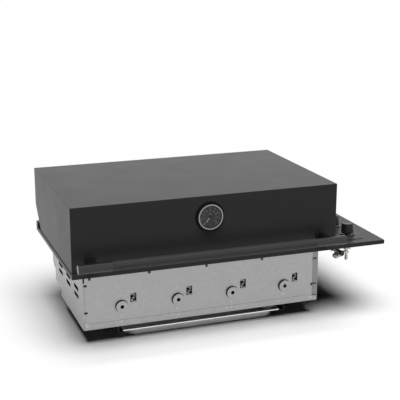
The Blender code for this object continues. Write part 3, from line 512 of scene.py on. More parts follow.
def thicken(shape, vec):  # makes a flat shape solid
    grown = bmesh.ops.extrude_face_region(shape, geom=shape.faces[:], use_keep_orig=True)["geom"]
    bmesh.ops.translate(shape, verts=onlyVerts(grown), vec=vec)
    bmesh.ops.recalc_face_normals(shape, faces=shape.faces)


def meshIn(shape, mesh, matrix):
    before = len(shape.verts)
    shape.from_mesh(mesh)
    shape.verts.ensure_lookup_table()
    bmesh.ops.transform(shape, matrix=matrix, verts=shape.verts[before:])


def edgesOf(verts):
    return list({edge for vert in verts for edge in vert.link_edges})


def blockIn(shape, size, matrix, edge=0.0):
    made = bmesh.ops.create_cube(shape, size=1, matrix=matrix @ Matrix.Diagonal((*size, 1)))["verts"]
    if edge:
        roundEdges(shape, edgesOf(made), edge)


def addBlocks(name, blocks, edge, finish, node):  # the size and place of each
    shape = bmesh.new()
    for size, matrix in blocks:
        blockIn(shape, size, matrix, edge)
    addPiece(name, shape, finish, node)


def discIn(shape, radius, thick, sides, matrix):
    return bmesh.ops.create_cone(
        shape, cap_ends=True, segments=sides, radius1=radius, radius2=radius, depth=thick, matrix=matrix,
    )["verts"]


def addHex(name, across, thick, matrix, edge, finish, node):
    shape = bmesh.new()
    roundEdges(shape, edgesOf(discIn(shape, across / math.sqrt(3), thick, 6, matrix)), edge)
    addPiece(name, shape, finish, node)


# Sheet metal: the frame's own shapes with folded and worked edges
sheetLook = {  # by nodes: finish, width of the worked edges, radius of the long folds
    ("hood_shell",): ("blackPaint", 0.0003, 0.0022),
    ("cover_plate",): ("blackPaint", 0.0003, 0.0012),
    ("rear_rail",): ("blackPaint", 0.0003, 0.0010),
    (
        "hinge_knuckle_left", "hinge_knuckle_right", "hinge_ear_left", "hinge_ear_right",
    ): ("darkSteel", 0.0003, 0),
    (
        "side_panel_left", "side_panel_right", "front_panel", "floor_pan", "rear_panel",
        "grate_ledge_front", "grate_ledge_rear", "burner_carrier",
    ): ("galvanisedSheet", 0.0004, 0),
    # painted shade: the tray rails take the nearly black zinc that paints their shadow
    ("tray_rail_left", "tray_rail_right"): ("railSheet", 0.0004, 0),
    ("gas_manifold",): ("brightSteel", 0.0003, 0),
}
for number in range(1, 5):
    sheetLook[(f"flame_tamer_{number}",)] = ("burnerSteel", 0.0004, 0)
    sheetLook[(f"igniter_{number}",)] = ("brightSteel", 0.0002, 0)
    sheetLook[(f"gas_valve_{number}", f"valve_stem_{number}")] = ("paleBrass", 0.0003, 0)
    sheetLook[(f"burner_{number}",)] = ("galvanisedSheet", 0.0004, 0)
for number in range(1, 4):
    sheetLook[(f"cooking_grate_{number}",)] = ("castIron", 0.0012, 0)
for names, (finish, edge, fold) in sheetLook.items():
    for node in names:
        softened(node, finish, edge, fold)
print("sheet metal ready")


# Handle: fluted bar, plain sleeves, turned standoffs
handleLook = {
    "flutes": 12, "stepsPerFlute": 12, "grooveShare": 0.22, "grooveDepth": 0.0008, "barEdge": 0.0005,
    "sleeveEnd": 0.0018, "sleeveDome": 0.0008, "domeShares": (0.5, 0.7), "sleeveSeam": 0.0004,
    "sleeveSteps": 96, "baseRadius": 0.018, "baseThick": 0.004, "baseRound": 0.0016,
    "waistRadius": 0.0122, "waistRound": 0.004, "headRadius": 0.0134, "headLength": 0.0085,
    "headSlope": 0.005, "headEdge": (0.0003, 0.0004), "endGap": 0.002, "postSteps": 72,
}


def makeBar(start, end, centre, radius):
    look = handleLook
    shape = bmesh.new()
    sides = look["flutes"] * look["stepsPerFlute"]
    bmesh.ops.create_circle(shape, cap_ends=True, segments=sides, radius=radius)
    for vert in shape.verts:
        turn = math.atan2(vert.co.y, vert.co.x) / (2 * math.pi) * look["flutes"] % 1
        inGroove = (turn - 1 + look["grooveShare"]) / look["grooveShare"]
        if inGroove > 0:
            vert.co *= 1 - look["grooveDepth"] * math.sin(math.pi * inGroove) / radius
    # The circle's x and y become the bar's y and z
    lay = Matrix(((0, 0, 1, start), (1, 0, 0, centre.y), (0, 1, 0, centre.z), (0, 0, 0, 1)))
    bmesh.ops.transform(shape, matrix=lay, verts=shape.verts)
    thicken(shape, (end - start, 0, 0))
    rims = [edge for edge in shape.edges if any(len(face.verts) > 4 for face in edge.link_faces)]
    roundEdges(shape, rims, look["barEdge"])
    addPiece("handleBar", shape, "handleGrey", "handle_grip", True)


def makeSleeve(side, seam, tip, centre, radius):
    look = handleLook
    dome, corner, (wide, rise) = look["sleeveDome"], look["sleeveEnd"], look["domeShares"]
    length = abs(tip - seam) - dome
    profile = [(0, 0), (radius - look["sleeveSeam"], 0), (radius, look["sleeveSeam"])]
    profile += arc(radius - corner, length - corner, corner, 0, 80)
    profile += [(radius * wide, length + dome * rise), (0, length + dome)]
    addTurned(
        "handleSleeve_" + side, profile, side, (seam, centre.y, centre.z), look["sleeveSteps"],
        "sleeveGrey", "handle_sleeve_" + side, True,
    )


def makePost(node, centre):
    look = handleLook
    reach = hoodLow.y - centre.y
    base, waist, head = look["baseRadius"], look["waistRadius"], look["headRadius"]
    thick, bend, hollow = look["baseThick"], look["baseRound"], look["waistRound"]
    flare, (inward, onward) = reach - look["headLength"], look["headEdge"]
    profile = [(0, 0), (base, 0)] + arc(base - bend, thick - bend, bend, 0, 80, 4)
    profile += arc(waist + hollow, thick + hollow, hollow, 262, 180)
    profile += [(waist, flare - look["headSlope"]), (head - inward, flare), (head, flare + onward)]
    profile += [(head, reach - look["endGap"]), (0, reach - look["endGap"])]
    place = (middleOf(node).x, hoodLow.y, centre.z)
    addTurned(node + "_finished", profile, "front", place, look["postSteps"], "postBlack", node, True)


def makeHandle():
    centre = middleOf("handle_grip")
    leftLow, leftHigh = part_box("handle_sleeve_left")
    rightLow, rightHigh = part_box("handle_sleeve_right")
    radius = (leftHigh.z - leftLow.z) / 2
    seam = handleLook["sleeveSeam"] / 2
    makeBar(leftHigh.x + seam, rightLow.x - seam, centre, radius)
    makeSleeve("left", leftHigh.x, leftLow.x, centre, radius)
    makeSleeve("right", rightLow.x, rightHigh.x, centre, radius)
    makePost("handle_post_left", centre)
    makePost("handle_post_right", centre)


makeHandle()
print("handle ready")


# Gauge: case with probe, ring, printed dial, glass and pointer
gaugeLook = {
    "steps": 96, "baseDepth": 0.0045, "baseRound": 0.0016, "cupDepth": 0.0085, "cupEdge": 0.0004,
    "cupFillet": 0.001, "wall": 0.0035, "floorDepth": 0.0025, "bossRadius": 0.020, "bossLength": 0.018,
    "probeRadius": 0.003, "probeLength": 0.060, "probeEdge": 0.001, "probeTipShare": 0.6,
    "ringInner": 0.0354, "ringBase": 0.0004, "ringPoints": 12, "ringFullness": 0.7, "ringSteps": 128,
    "glassDome": 0.0003, "glassShares": (0.8, 0.6, 0.4, 0.2, 0), "dialEdge": 0.0001,
    "marks": 9, "minorsBetween": 1, "firstMark": 225, "sweep": 270, "markOuter": 0.0320,
    "major": (0.0250, 0.0010), "minor": (0.0300, 0.0004),
    "printThick": 0.00006, "numberRadius": 0.0200, "numberSize": 0.0038, "numberStep": 50,
    "unitSize": 0.0058, "unitRise": 0.0085, "dots": (0.0198, 0.0285), "dotRadius": 0.0007, "dotSides": 16,
    "pointerRoot": 0.0032, "pointerWaist": 0.0165, "pointerTip": 0.0305, "pointerWide": 0.0019,
    "pointerNarrow": 0.0004, "pointerSlope": 0.002, "pointerThick": 0.0006, "pointerGap": 0.0003,
    "restTurn": 219, "capRadius": 0.0052, "capThick": 0.0012, "capEdge": 0.0004, "capCrown": 0.0001,
    "capSteps": 48,
}


def makeCase(centre):
    look = gaugeLook
    caseLow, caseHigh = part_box("gauge_case")
    ringLow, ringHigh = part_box("gauge_ring")
    base, cup = (caseHigh.x - caseLow.x) / 2, (ringHigh.x - ringLow.x) / 2
    floor, lip, edge, fillet = look["floorDepth"], look["cupDepth"], look["cupEdge"], look["cupFillet"]
    recess, bend, boss, probe = cup - look["wall"], look["baseRound"], look["bossRadius"], look["probeRadius"]
    tip = -look["bossLength"] - look["probeLength"]
    profile = [(0, floor), (recess, floor), (recess, lip), (cup - edge, lip), (cup, lip - edge)]
    profile += arc(cup + fillet, look["baseDepth"] + fillet, fillet, 180, 265, 4)
    profile += arc(base - bend, bend, bend, 60, 0, 5)
    profile += [(base, 0), (boss, 0), (boss, -look["bossLength"]), (probe, -look["bossLength"])]
    profile += [(probe, tip + look["probeEdge"]), (probe * look["probeTipShare"], tip), (0, tip)]
    place = (centre.x, hoodLow.y, centre.z)
    addTurned("gaugeCase", profile, "front", place, look["steps"], "caseBlack", "gauge_case", True)


def makeRing(centre):
    look = gaugeLook
    low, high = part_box("gauge_ring")
    outer, inner, base, points = (high.x - low.x) / 2, look["ringInner"], look["ringBase"], look["ringPoints"]
    middle, wide, tall = (outer + inner) / 2, (outer - inner) / 2, high.y - low.y
    profile = [(outer, 0)]
    for turn in (math.pi * step / points for step in range(1, points)):
        rise = (tall - base) * math.sin(turn) ** look["ringFullness"]
        profile.append((middle + wide * math.cos(turn), base + rise))
    profile.append((inner, 0))
    place = (centre.x, high.y, centre.z)
    addTurned("gaugeRing", profile, "front", place, look["ringSteps"], "ringSteel", "gauge_ring", True, True)


def makeLens(centre):
    look = gaugeLook
    low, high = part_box("gauge_lens")
    dome = look["glassDome"]
    radius, thick = (high.x - low.x) / 2, high.y - low.y - dome
    profile = [(0, 0), (radius, 0), (radius, thick)]
    profile += [(radius * share, thick + dome * (1 - share ** 2)) for share in look["glassShares"]]
    place = (centre.x, high.y, centre.z)
    addTurned("gaugeGlass", profile, "front", place, look["steps"], "gaugeGlass", "gauge_lens", True)


def textIn(shape, words, size, thick, matrix):
    curve = bpy.data.curves.new("print", "FONT")
    curve.body = words
    curve.size = size
    curve.extrude = thick
    curve.resolution_u = 3
    curve.align_x = "CENTER"
    curve.align_y = "CENTER"
    holder = bpy.data.objects.new("print", curve)
    mesh = bpy.data.meshes.new_from_object(holder)
    meshIn(shape, mesh, matrix)
    bpy.data.objects.remove(holder)
    bpy.data.curves.remove(curve)
    bpy.data.meshes.remove(mesh)


def makeDialPrint(face):
    look = gaugeLook
    ink, gaps, outer = look["printThick"], look["minorsBetween"] + 1, look["markOuter"]
    steps = (look["marks"] - 1) * gaps
    shape = bmesh.new()
    for step in range(steps + 1):
        # Clockwise from the top, seen from the front
        turn = math.radians(look["firstMark"] + look["sweep"] * step / steps)
        away = Vector((math.sin(turn), 0, math.cos(turn)))
        number, part = divmod(step, gaps)
        inner, wide = look["minor"] if part else look["major"]
        matrix = Matrix.Translation(face + away * (inner + outer) / 2) @ Matrix.Rotation(turn, 4, "Y")
        blockIn(shape, (wide, ink * 2, outer - inner), matrix)
        if not part:
            matrix = Matrix.Translation(face + away * look["numberRadius"]) @ facing["front"]
            textIn(shape, str(number * look["numberStep"]), look["numberSize"], ink, matrix)
    matrix = Matrix.Translation(face + Vector((0, 0, look["unitRise"]))) @ facing["front"]
    textIn(shape, "°C", look["unitSize"], ink, matrix)
    for drop in look["dots"]:
        matrix = Matrix.Translation(face - Vector((0, 0, drop))) @ facing["front"]
        discIn(shape, look["dotRadius"], ink * 2, look["dotSides"], matrix)
    addPiece("dialPrint", shape, "printGrey", "gauge_dial")


def makeDial(centre):
    look = gaugeLook
    low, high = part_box("gauge_dial")
    radius, thick, edge = (high.x - low.x) / 2, high.y - low.y, look["dialEdge"]
    profile = [(0, 0), (radius, 0), (radius, thick - edge), (radius - edge, thick), (0, thick)]
    place = (centre.x, high.y, centre.z)
    addTurned("gaugeDial", profile, "front", place, look["steps"], "dialBlack", "gauge_dial", True)
    makeDialPrint(Vector((centre.x, low.y, centre.z)))


def makePointer(centre):
    look = gaugeLook
    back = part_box("gauge_dial")[0].y - look["pointerGap"]
    wide, narrow, waist = look["pointerWide"] / 2, look["pointerNarrow"] / 2, look["pointerWaist"]
    half = [(wide, look["pointerRoot"]), (wide, waist)]
    half += [(narrow, waist + look["pointerSlope"]), (narrow, look["pointerTip"])]
    outline = half + [(-x, z) for x, z in reversed(half)]
    shape = bmesh.new()
    shape.faces.new([shape.verts.new((x, 0, z)) for x, z in outline])
    thicken(shape, (0, -look["pointerThick"], 0))
    place, turn = (centre.x, back, centre.z), Matrix.Rotation(math.radians(look["restTurn"]), 4, "Y")
    bmesh.ops.transform(shape, matrix=Matrix.Translation(place) @ turn, verts=shape.verts)
    addPiece("gaugePointer", shape, "needleWhite", "gauge_needle", True)
    cap, thick, edge, crown = look["capRadius"], look["capThick"], look["capEdge"], look["capCrown"]
    profile = [(0, 0), (cap, 0), (cap, thick - edge), (cap - edge, thick - crown), (0, thick)]
    addTurned("pointerCap", profile, "front", place, look["capSteps"], "caseBlack", "gauge_needle")


for make in (makeCase, makeRing, makeLens, makeDial, makePointer):
    make(middleOf("gauge_ring"))
print("gauge ready")


# Knobs with their rings, and the marks printed beside them
knobLook = {
    "steps": 96, "skirtInset": 0.0025, "skirtHeight": 0.004, "skirtRound": 0.0007, "footShare": 0.3,
    "topRadius": 0.01925, "topRound": 0.0016, "dish": 0.0012,
    "dishShares": ((1, 0), (1.6, 0.2), (2.3, 0.85), (3, 1)),  # inward by the rounding, down by the dish
    "lineWidth": 0.0012, "lineLength": 0.0085, "lineInset": 0.0022, "lineThick": 0.0003, "lineEdgeShare": 0.3,
    "rimWidth": 0.0025, "rimRound": 0.0004, "floorThick": 0.002, "stemHole": 0.0046,
    "dots": ((0.0363, 0.002, 0.0019), (0.0473, 0.0025, 0.0011)), "dotSides": 32, "printThick": 0.00008,
    "bar": (-0.002, -0.056, 0.057, 0.0085), "topLift": 0.00006, "topSink": 0.0006,
}


def makeKnob(number):
    look = knobLook
    node = f"knob_{number}"
    low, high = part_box(node)
    centre = (low + high) / 2
    place = (centre.x, centre.y, low.z)
    wide, tall, top = (high.x - low.x) / 2, high.z - low.z, look["topRadius"]
    bend, dish, skirt, soft = look["topRound"], look["dish"], look["skirtHeight"], look["skirtRound"]
    foot = wide - look["skirtInset"]
    slope = [(top - inward * bend, tall - down * dish) for inward, down in look["dishShares"]]
    profile = [(0, 0), (foot - soft, 0), (foot, soft * look["footShare"])]
    profile += [(wide - soft, skirt - soft), (wide, skirt + soft)]
    profile += arc(top - bend, tall - bend, bend, 5, 90) + slope[1:] + [(0, tall - dish)]
    addTurned(f"knobBody_{number}", profile, "up", place, look["steps"], "blackPlastic", node, True)
    # painted light: a lighter skin over the dished top, as the top catches more light
    face = [(0, tall - dish)] + slope[::-1]
    profile = [(radius, height + look["topLift"]) for radius, height in face]
    profile += [(radius, height - look["topSink"]) for radius, height in reversed(face)]
    addTurned(f"knobPaintedLightFace_{number}", profile, "up", place, look["steps"], "knobTop", node)
    length, thick = look["lineLength"], look["lineThick"]
    spot = (centre.x, centre.y - top + look["lineInset"] + length / 2, high.z - dish)
    size, edge = (look["lineWidth"], length, thick), thick * look["lineEdgeShare"]
    block = (size, Matrix.Translation(spot))
    addBlocks(f"knobLine_{number}", [block], edge, "printGrey", node)


def makeKnobRing(number):
    look = knobLook
    node = f"knob_bezel_{number}"
    low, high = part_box(node)
    centre, hole = (low + high) / 2, look["stemHole"]
    outer, tall, bend = (high.x - low.x) / 2, high.z - low.z, look["rimRound"]
    inner = outer - look["rimWidth"]
    profile = [(hole, 0), (outer, 0)] + arc(outer - bend, tall - bend, bend, 0, 90, 4)
    profile += arc(inner + bend, tall - bend, bend, 90, 180, 4)
    profile += [(inner, look["floorThick"]), (hole, look["floorThick"])]
    place = (centre.x, centre.y, low.z)
    addTurned(f"knobRing_{number}", profile, "up", place, look["steps"], "knobSteel", node, True, True)


def makeKnobPrint():
    look = knobLook
    thick = look["printThick"] * 2
    shape = bmesh.new()
    for number in range(1, 5):
        centre = middleOf(f"knob_{number}")
        for right, back, radius in look["dots"]:
            matrix = Matrix.Translation((centre.x + right, centre.y + back, plateTop))
            discIn(shape, radius, thick, look["dotSides"], matrix)
    addPiece("flameDots", shape, "needleWhite", "cover_plate")
    right, back, length, wide = look["bar"]
    centre = middleOf("knob_1")
    place = Matrix.Translation((centre.x + right, centre.y + back, plateTop))
    addBlocks("plainBar", [((length, wide, thick), place)], 0, "caseBlack", "cover_plate")


for number in range(1, 5):
    makeKnob(number)
    makeKnobRing(number)
makeKnobPrint()
print("knobs ready")


# Drip tray: a drawn pan with a rolled rim, a darker film inside it as painted shade, and a lighter bead on
# the rim as a painted highlight
trayLook = {
    "panCorner": 0.032, "rimCorner": 0.004, "cornerSteps": 14, "rimWidth": 0.010, "rimRoll": 0.0027,
    "taper": 0.007, "footRound": 0.008, "sheet": 0.0011,
    "footTurns": (0, 20, 40, 60), "rollTurns": (20, -15, -50, -90, -130, -170, -205, -240, -270),
    "underBend": ((0.0012, 0.0022), (0.0003, 0.0006), (-0.0008, 0)), "rollStart": 0.0004,
    "overBend": ((-0.0004, 0), (0.0008, 0.0004), (0.0018, 0.0016)),
    "shadeFilmGap": 0.0001, "shadeFilmThick": 0.0004, "beadOver": 0.0001, "beadTurn": 30,
}


def trayRings(tall):  # inset from the rim's outline, height and corner, up the outside and down the inside
    look = trayLook
    roll, wall, sheet, bend = look["rimRoll"], look["rimWidth"], look["sheet"], look["footRound"]
    pan, rim = look["panCorner"], look["rimCorner"]
    foot, under = wall + look["taper"], tall - sheet
    curve = [(1 - math.sin(turn), 1 - math.cos(turn)) for turn in map(math.radians, look["footTurns"])]
    rings = [(foot + bend * across, bend * up, pan - bend * across) for across, up in curve]
    rings += [(wall + across, under - down, pan) for across, down in look["underBend"]]
    rings.append((2 * roll + look["rollStart"], under, rim))
    for turn in map(math.radians, look["rollTurns"]):
        inset = roll + roll * math.cos(turn)
        rings.append((inset, tall - roll + roll * math.sin(turn), rim + 2 * roll - inset))
    rings += [(wall + across, tall - down, pan) for across, down in look["overBend"]]
    curve.reverse()
    rings += [(foot + sheet + bend * across, sheet + bend * up, pan - bend * across) for across, up in curve]
    return rings, rings[-len(curve) - 1:]


# painted shade: a thin film just inside the pan, darker than the pan, for the shade under the firebox
def shadeFilmRings(inside):
    gap, thick = trayLook["shadeFilmGap"], trayLook["shadeFilmThick"]
    rings = [(inset + gap, height + gap, corner) for inset, height, corner in reversed(inside)]
    return rings + [(inset + gap + thick, height + gap + thick, corner) for inset, height, corner in inside]


def beadRings(tall):  # round the rolled rim and back to the start
    look = trayLook
    roll, rim, wide = look["rimRoll"], look["rimCorner"], look["rimRoll"] + look["beadOver"]
    rings = []
    for turn in map(math.radians, range(0, 361, look["beadTurn"])):
        inset = roll - wide * math.cos(turn)
        rings.append((inset, tall - roll + wide * math.sin(turn), rim + 2 * roll - inset))
    return rings


def makePan(name, rings, finish, stands=False, tube=False):  # grown ring by ring from a flat bottom
    look = trayLook
    low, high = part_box("drip_tray")
    centre, half = (low + high) / 2, (high - low) / 2
    shape = bmesh.new()
    whole = Matrix.Translation((centre.x, centre.y, low.z)) @ Matrix.Diagonal((half.x, half.y, 1, 1))
    bmesh.ops.create_grid(shape, x_segments=1, y_segments=1, size=1, matrix=whole)
    bmesh.ops.bevel(
        shape, geom=shape.verts[:], offset=look["panCorner"], offset_type="OFFSET",
        segments=look["cornerSteps"], profile=0.5, affect="VERTICES", clamp_overlap=True, material=-1,
    )
    loop, moved = shape.edges[:], shape.verts[:]
    lastInset, lastCorner = 0, look["panCorner"]
    for inset, height, corner in rings:
        for vert in moved:
            for axis in (0, 1):  # each corner's arc is drawn again about its own new middle
                side = math.copysign(1, vert.co[axis] - centre[axis])
                middle = centre[axis] + side * (half[axis] - lastInset - lastCorner)
                away = (vert.co[axis] - middle) / lastCorner
                vert.co[axis] = centre[axis] + side * (half[axis] - inset - corner) + away * corner
            vert.co.z = low.z + height
        lastInset, lastCorner = inset, corner
        grown = bmesh.ops.extrude_edge_only(shape, edges=loop)["geom"]
        loop, moved = onlyEdges(grown), onlyVerts(grown)
    if tube:
        caps = [face for face in shape.faces if len(face.verts) > 4]
        bmesh.ops.delete(shape, geom=caps, context="FACES_ONLY")
    else:
        bmesh.ops.contextual_create(shape, geom=loop)
    closeSeams(shape)
    addPiece(name, shape, finish, "drip_tray", stands)


def makeTray():
    low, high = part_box("drip_tray")
    rings, inside = trayRings(high.z - low.z)
    makePan("dripTray", rings, "traySteel", True)
    # painted shade: the darker film inside the pan
    makePan("trayShadeFilm", shadeFilmRings(inside), "linerSteel")
    # painted highlight: a lighter skin over the rolled rim
    makePan("trayRimHighlight", beadRings(high.z - low.z), "beadSteel", tube=True)


makeTray()
print("tray ready")


# Gas fittings: hex nuts, plug and hose barbs on the frame's pipe and valves
gasLook = {
    "plugAcross": 0.0158, "plugLength": 0.011, "plugEdge": 0.0008, "plugSink": 0.0002, "nutAcross": 0.0186,
    "nutEdge": 0.0009, "nutLength": 0.0094, "nutStart": 0.0053, "pipe": (0.4859, 0, -0.058),
    "inlet": (0.4639, 0.082, -0.068), "glandAcross": 0.014, "glandThick": 0.005, "glandRise": 0.0258,
    "glandEdge": 0.0006, "barbs": 4, "barbRadius": 0.0054, "barbRoot": 0.0046, "barbCore": 0.0041,
    "barbPitch": 0.0034, "barbShare": 0.85, "barbRise": 0.0008, "barbSteps": 36,
}


def makePipeFittings():
    look = gasLook
    pipe, inlet = at(*look["pipe"]), at(*look["inlet"])
    length = look["plugLength"]
    spot = (pipe.x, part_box("gas_manifold")[0].y + length / 2 - look["plugSink"], pipe.z)
    place = Matrix.Translation(spot) @ facing["front"]
    addHex("pipePlug", look["plugAcross"], length, place, look["plugEdge"], "darkSteel", "gas_manifold")
    length = look["nutLength"]
    place = Matrix.Translation((inlet.x + look["nutStart"] + length / 2, inlet.y, inlet.z)) @ facing["right"]
    addHex("inletNut", look["nutAcross"], length, place, look["nutEdge"], "brightSteel", "gas_manifold")


def makeValveFittings(number):  # a gland nut and a hose barb on the valve's outlet
    look = gasLook
    node = f"gas_valve_{number}"
    foot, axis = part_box(node)[0].z, middleOf(f"knob_{number}")
    place = Matrix.Translation((axis.x, axis.y, foot + look["glandRise"]))
    across, thick = look["glandAcross"], look["glandThick"]
    addHex(f"glandNut_{number}", across, thick, place, look["glandEdge"], "brightSteel", node)
    core, root, pitch = look["barbCore"], look["barbRoot"], look["barbPitch"]
    profile = [(core, 0)]
    for barb in range(look["barbs"]):
        profile += [(root, barb * pitch), (look["barbRadius"], (barb + look["barbShare"]) * pitch)]
    profile += [(root, look["barbs"] * pitch), (core, look["barbs"] * pitch)]
    place, name = (axis.x, axis.y, foot + look["barbRise"]), f"hoseBarb_{number}"
    addTurned(name, profile, "up", place, look["barbSteps"], "brightSteel", node, closed=True)


makePipeFittings()
for number in range(1, 5):
    makeValveFittings(number)
print("gas fittings ready")


# Burner heads: a smooth turned nose over each of the frame's, with a dark band round it as the painted shadow
# of the gap
noseLook = {
    "over": 0.00008, "bore": 0.0058, "chamfer": 0.0008, "round": 0.001, "length": 0.0072, "steps": 72,
    "radius": 0.0185, "drop": 0.132, "root": -0.004, "shadeBandOver": 0.00006, "shadeBandThick": 0.0008,
}


def makeNose(number):
    look = noseLook
    node = f"burner_{number}"
    outer, tall, root = look["radius"] + look["over"], look["length"], look["root"]
    bore, chamfer, bend, steps = look["bore"], look["chamfer"], look["round"], look["steps"]
    place = (middleOf(node).x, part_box(node)[0].y - look["over"] + tall, plateTop - look["drop"])
    profile = [(bore, root), (outer, root), (outer, tall - bend)]
    profile += arc(outer - bend, tall - bend, bend, 15, 90, 4)
    profile += [(bore + chamfer, tall), (bore, tall - chamfer)]
    addTurned(f"burnerNose_{number}", profile, "front", place, steps, "galvanisedSheet", node, closed=True)
    # painted shadow: a dark steel band round the nose for the shadowed gap about it
    under, over = outer - look["shadeBandThick"], outer + look["shadeBandOver"]
    profile = [(under, root), (over, root), (over, tall - bend), (under, tall - bend)]
    addTurned(f"burnerShadeBand_{number}", profile, "front", place, steps, "darkSteel", node, closed=True)


for number in range(1, 5):
    makeNose(number)
print("burner noses ready")


# Igniters: a flat lip on each bracket, and the electrode's ceramic sleeve
igniterLook = {
    "path": ((-1, 1), (0.5, 1), (0.5, 0.25), (-0.5, -0.25), (-0.5, -1), (1, -1)),  # shares of the half size
    "lipWide": 0.0042, "lipThick": 0.0012, "lipEdge": 0.0002, "sleeveRadius": 0.0030, "sleeveStart": 0.003,
    "sleeveLength": 0.022, "sleeveRise": 0.0028, "sleeveRound": 0.0006, "sleeveSteps": 32,
}


def makeIgniter(number):
    look = igniterLook
    node = f"igniter_{number}"
    low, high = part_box(node)
    middle, half = (low + high) / 2, (high - low) / 2
    wide, thick = look["lipWide"], look["lipThick"]
    reach, rise = half.x - wide / 2, half.z - wide / 2
    path = [Vector((middle.x + x * reach, low.y + thick / 2, middle.z + z * rise)) for x, z in look["path"]]
    blocks = []
    for start, end in zip(path, path[1:]):
        run = end - start
        lay = Matrix.Translation((start + end) / 2) @ Matrix.Rotation(-math.atan2(run.z, run.x), 4, "Y")
        blocks.append(((run.length + wide, thick, wide), lay))
    addBlocks(f"igniterLip_{number}", blocks, look["lipEdge"], "galvanisedSheet", node)
    radius, length, bend = look["sleeveRadius"], look["sleeveLength"], look["sleeveRound"]
    profile = [(0, 0), (radius - bend, 0), (radius, bend), (radius, length - bend)]
    profile += [(radius - bend, length), (0, length)]
    place = (middle.x + half.x / 2, low.y + look["sleeveStart"], low.z + look["sleeveRise"])
    addTurned(f"ceramicSleeve_{number}", profile, "back", place, look["sleeveSteps"], "ceramic", node)


for number in range(1, 5):
    makeIgniter(number)
print("igniters ready")


# Firebox corners: the folded strip over the right flange, in darker zinc as painted shade, and the latch tabs
# at both front corners, dark as painted shadows
cornerLook = {
    "right": 0.3865, "thick": 0.0012, "gap": 0.0004, "edge": 0.0004, "foot": -0.180, "head": -0.0022,
    "tab": (0.0105, 0.0030, 0.0046), "tabEdge": 0.0008,
    "tabs": ((-0.378, -0.055), (-0.378, -0.141), (0.3755, -0.0535), (0.375, -0.1385)),
}


def makeCorners():
    look = cornerLook
    low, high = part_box("front_panel")
    left, right = high.x + look["gap"], origin.x + look["right"]
    foot, head, thick = plateTop + look["foot"], plateTop + look["head"], look["thick"]
    place = Matrix.Translation(((left + right) / 2, low.y + thick / 2, (foot + head) / 2))
    strip = (right - left, thick, head - foot), place
    # painted shade: the strip's zinc is darker to paint the shade on the flange
    addBlocks("cornerShadeStrip", [strip], look["edge"], "foldedSheet", "front_panel")
    places = [Matrix.Translation((origin.x + x, low.y, plateTop + z)) for x, z in look["tabs"]]
    tabs = [(look["tab"], place) for place in places]
    # painted shadow: the tabs are dark steel so that they read as the shadows they cast
    addBlocks("latchTabsPaintedShade", tabs, look["tabEdge"], "darkSteel", "front_panel")


makeCorners()
print("corners ready")


# Screws, rivets and washers
screwLook = {
    "radius": 0.0034, "height": 0.0019, "sink": 0.0003, "steps": 24, "crossReach": 0.0020,
    "crossHalf": 0.0005, "headShares": ((1, 0.35), (0.93, 0.68), (0.78, 0.88)), "crossRoom": 1.12,
    "crossDepth": 0.0011, "crossTaper": 0.6, "washerLift": 0.0008,
}
rivetLook = {
    "steps": 20,
    "profile": (
        (0.0021, -0.0002), (0.0021, 0.0003), (0.0018, 0.0008), (0.0011, 0.0011), (0.0010, 0.0008),
        (0, 0.0008),
    ),
}
washerLook = {
    "steps": 28,
    "profile": ((0.0012, -0.0002), (0.0044, -0.0002), (0.0044, 0.0006), (0.0040, 0.0009), (0.0012, 0.0009)),
}
fastenerPlaces = {  # across and up from the hood's middle and the plate's top; a rivet's are back and up
    "strip": (
        (-0.379, -0.1766), (-0.373, -0.183), (-0.270, -0.1815), (-0.108, -0.183), (-0.090, -0.183),
        (0.069, -0.182), (0.088, -0.1824), (0.250, -0.1825), (0.357, -0.184), (0.3645, -0.185),
    ),
    "flange": ((-0.365, -0.035), (-0.180, -0.035), (0.0044, -0.035), (0.190, -0.035)),
    "burner": ((-0.0046, -0.096), (-0.003, -0.1615)),  # across from each burner's middle
    "rivet": ((0.046, -0.108), (0.195, -0.185), (0.326, -0.186), (0.074, -0.186), (0.048, -0.182)),
    "frontStart": -0.02, "leftStart": -0.5,  # where the search for the sheet starts
}


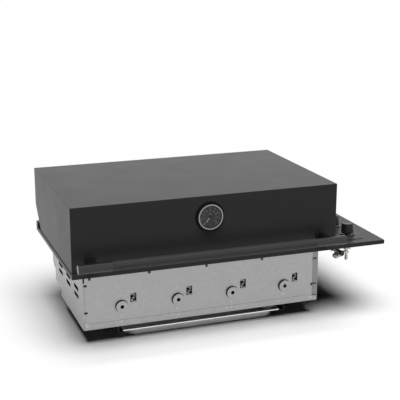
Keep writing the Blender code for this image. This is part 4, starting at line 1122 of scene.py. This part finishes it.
def screwMaster():  # a pan head with a cross recess, facing up
    look = screwLook
    radius, tall, reach, half = look["radius"], look["height"], look["crossReach"], look["crossHalf"]
    shape = bmesh.new()
    profile = [(radius, -look["sink"])] + [(radius * wide, tall * rise) for wide, rise in look["headShares"]]
    turned(shape, profile + [(reach * look["crossRoom"], tall)], "up", (0, 0, 0), look["steps"])
    rim = [edge for edge in shape.edges if edge.is_boundary and edge.verts[0].co.z > 0]
    corners = [(reach, -half), (reach, half), (half, half), (half, reach), (-half, reach), (-half, half)]
    corners += [(-x, -y) for x, y in corners]
    cross = [shape.verts.new((x, y, tall)) for x, y in corners]
    edges = [shape.edges.new((cross[index - 1], cross[index])) for index in range(len(cross))]
    bmesh.ops.bridge_loops(shape, edges=rim + edges)
    grown = bmesh.ops.extrude_edge_only(shape, edges=edges)["geom"]
    bottom = onlyVerts(grown)
    bmesh.ops.scale(shape, vec=(look["crossTaper"], look["crossTaper"], 1), verts=bottom)
    bmesh.ops.translate(shape, vec=(0, 0, -look["crossDepth"]), verts=bottom)
    bmesh.ops.contextual_create(shape, geom=onlyEdges(grown))
    bmesh.ops.recalc_face_normals(shape, faces=shape.faces)
    return meshFrom("screwMaster", shape)


def turnedMaster(name, look, closed=False):
    shape = bmesh.new()
    turned(shape, look["profile"], "up", (0, 0, 0), look["steps"], closed)
    return meshFrom(name, shape)


def placesOn(tree, starts, aim, lift=0.0):  # where a line from each start meets the sheet
    found = []
    for start in starts:
        hit = tree.ray_cast(start, -toward[aim])[0]
        found.append(Matrix.Translation(hit + toward[aim] * lift) @ facing[aim])
    return found


def scatter(name, master, finish, places):  # one piece of the firebox, with a copy in each place
    shape = bmesh.new()
    for place in places:
        meshIn(shape, master, place)
    addPiece(name, shape, finish, "front_panel")


def makeFasteners():
    spots, start = fastenerPlaces, fastenerPlaces["frontStart"]
    front = surfaceOf(["front_panel", "floor_pan", "side_panel_left", "side_panel_right"])
    screw = screwMaster()
    rivet, washer = turnedMaster("rivetMaster", rivetLook), turnedMaster("washerMaster", washerLook, True)
    strip = [at(x, start, z) for x, z in spots["strip"]]
    flange = [at(x, start, z) for x, z in spots["flange"]]
    centres = [middleOf(f"burner_{number}").x - origin.x for number in range(1, 5)]
    burner = [at(x + across, start, z) for x in centres for across, z in spots["burner"]]
    side = [at(spots["leftStart"], y, z) for y, z in spots["rivet"]]
    scatter("stripScrews", screw, "screwSteel", placesOn(front, strip, "front"))
    scatter("flangeWashers", washer, "blackPlastic", placesOn(front, flange, "front"))
    scatter("flangeScrews", screw, "knobSteel", placesOn(front, flange, "front", screwLook["washerLift"]))
    scatter("burnerScrews", screw, "screwSteel", placesOn(front, burner, "front"))
    scatter("sideRivets", rivet, "brightSteel", placesOn(surfaceOf(["side_panel_left"]), side, "left"))


makeFasteners()
print("fasteners ready")
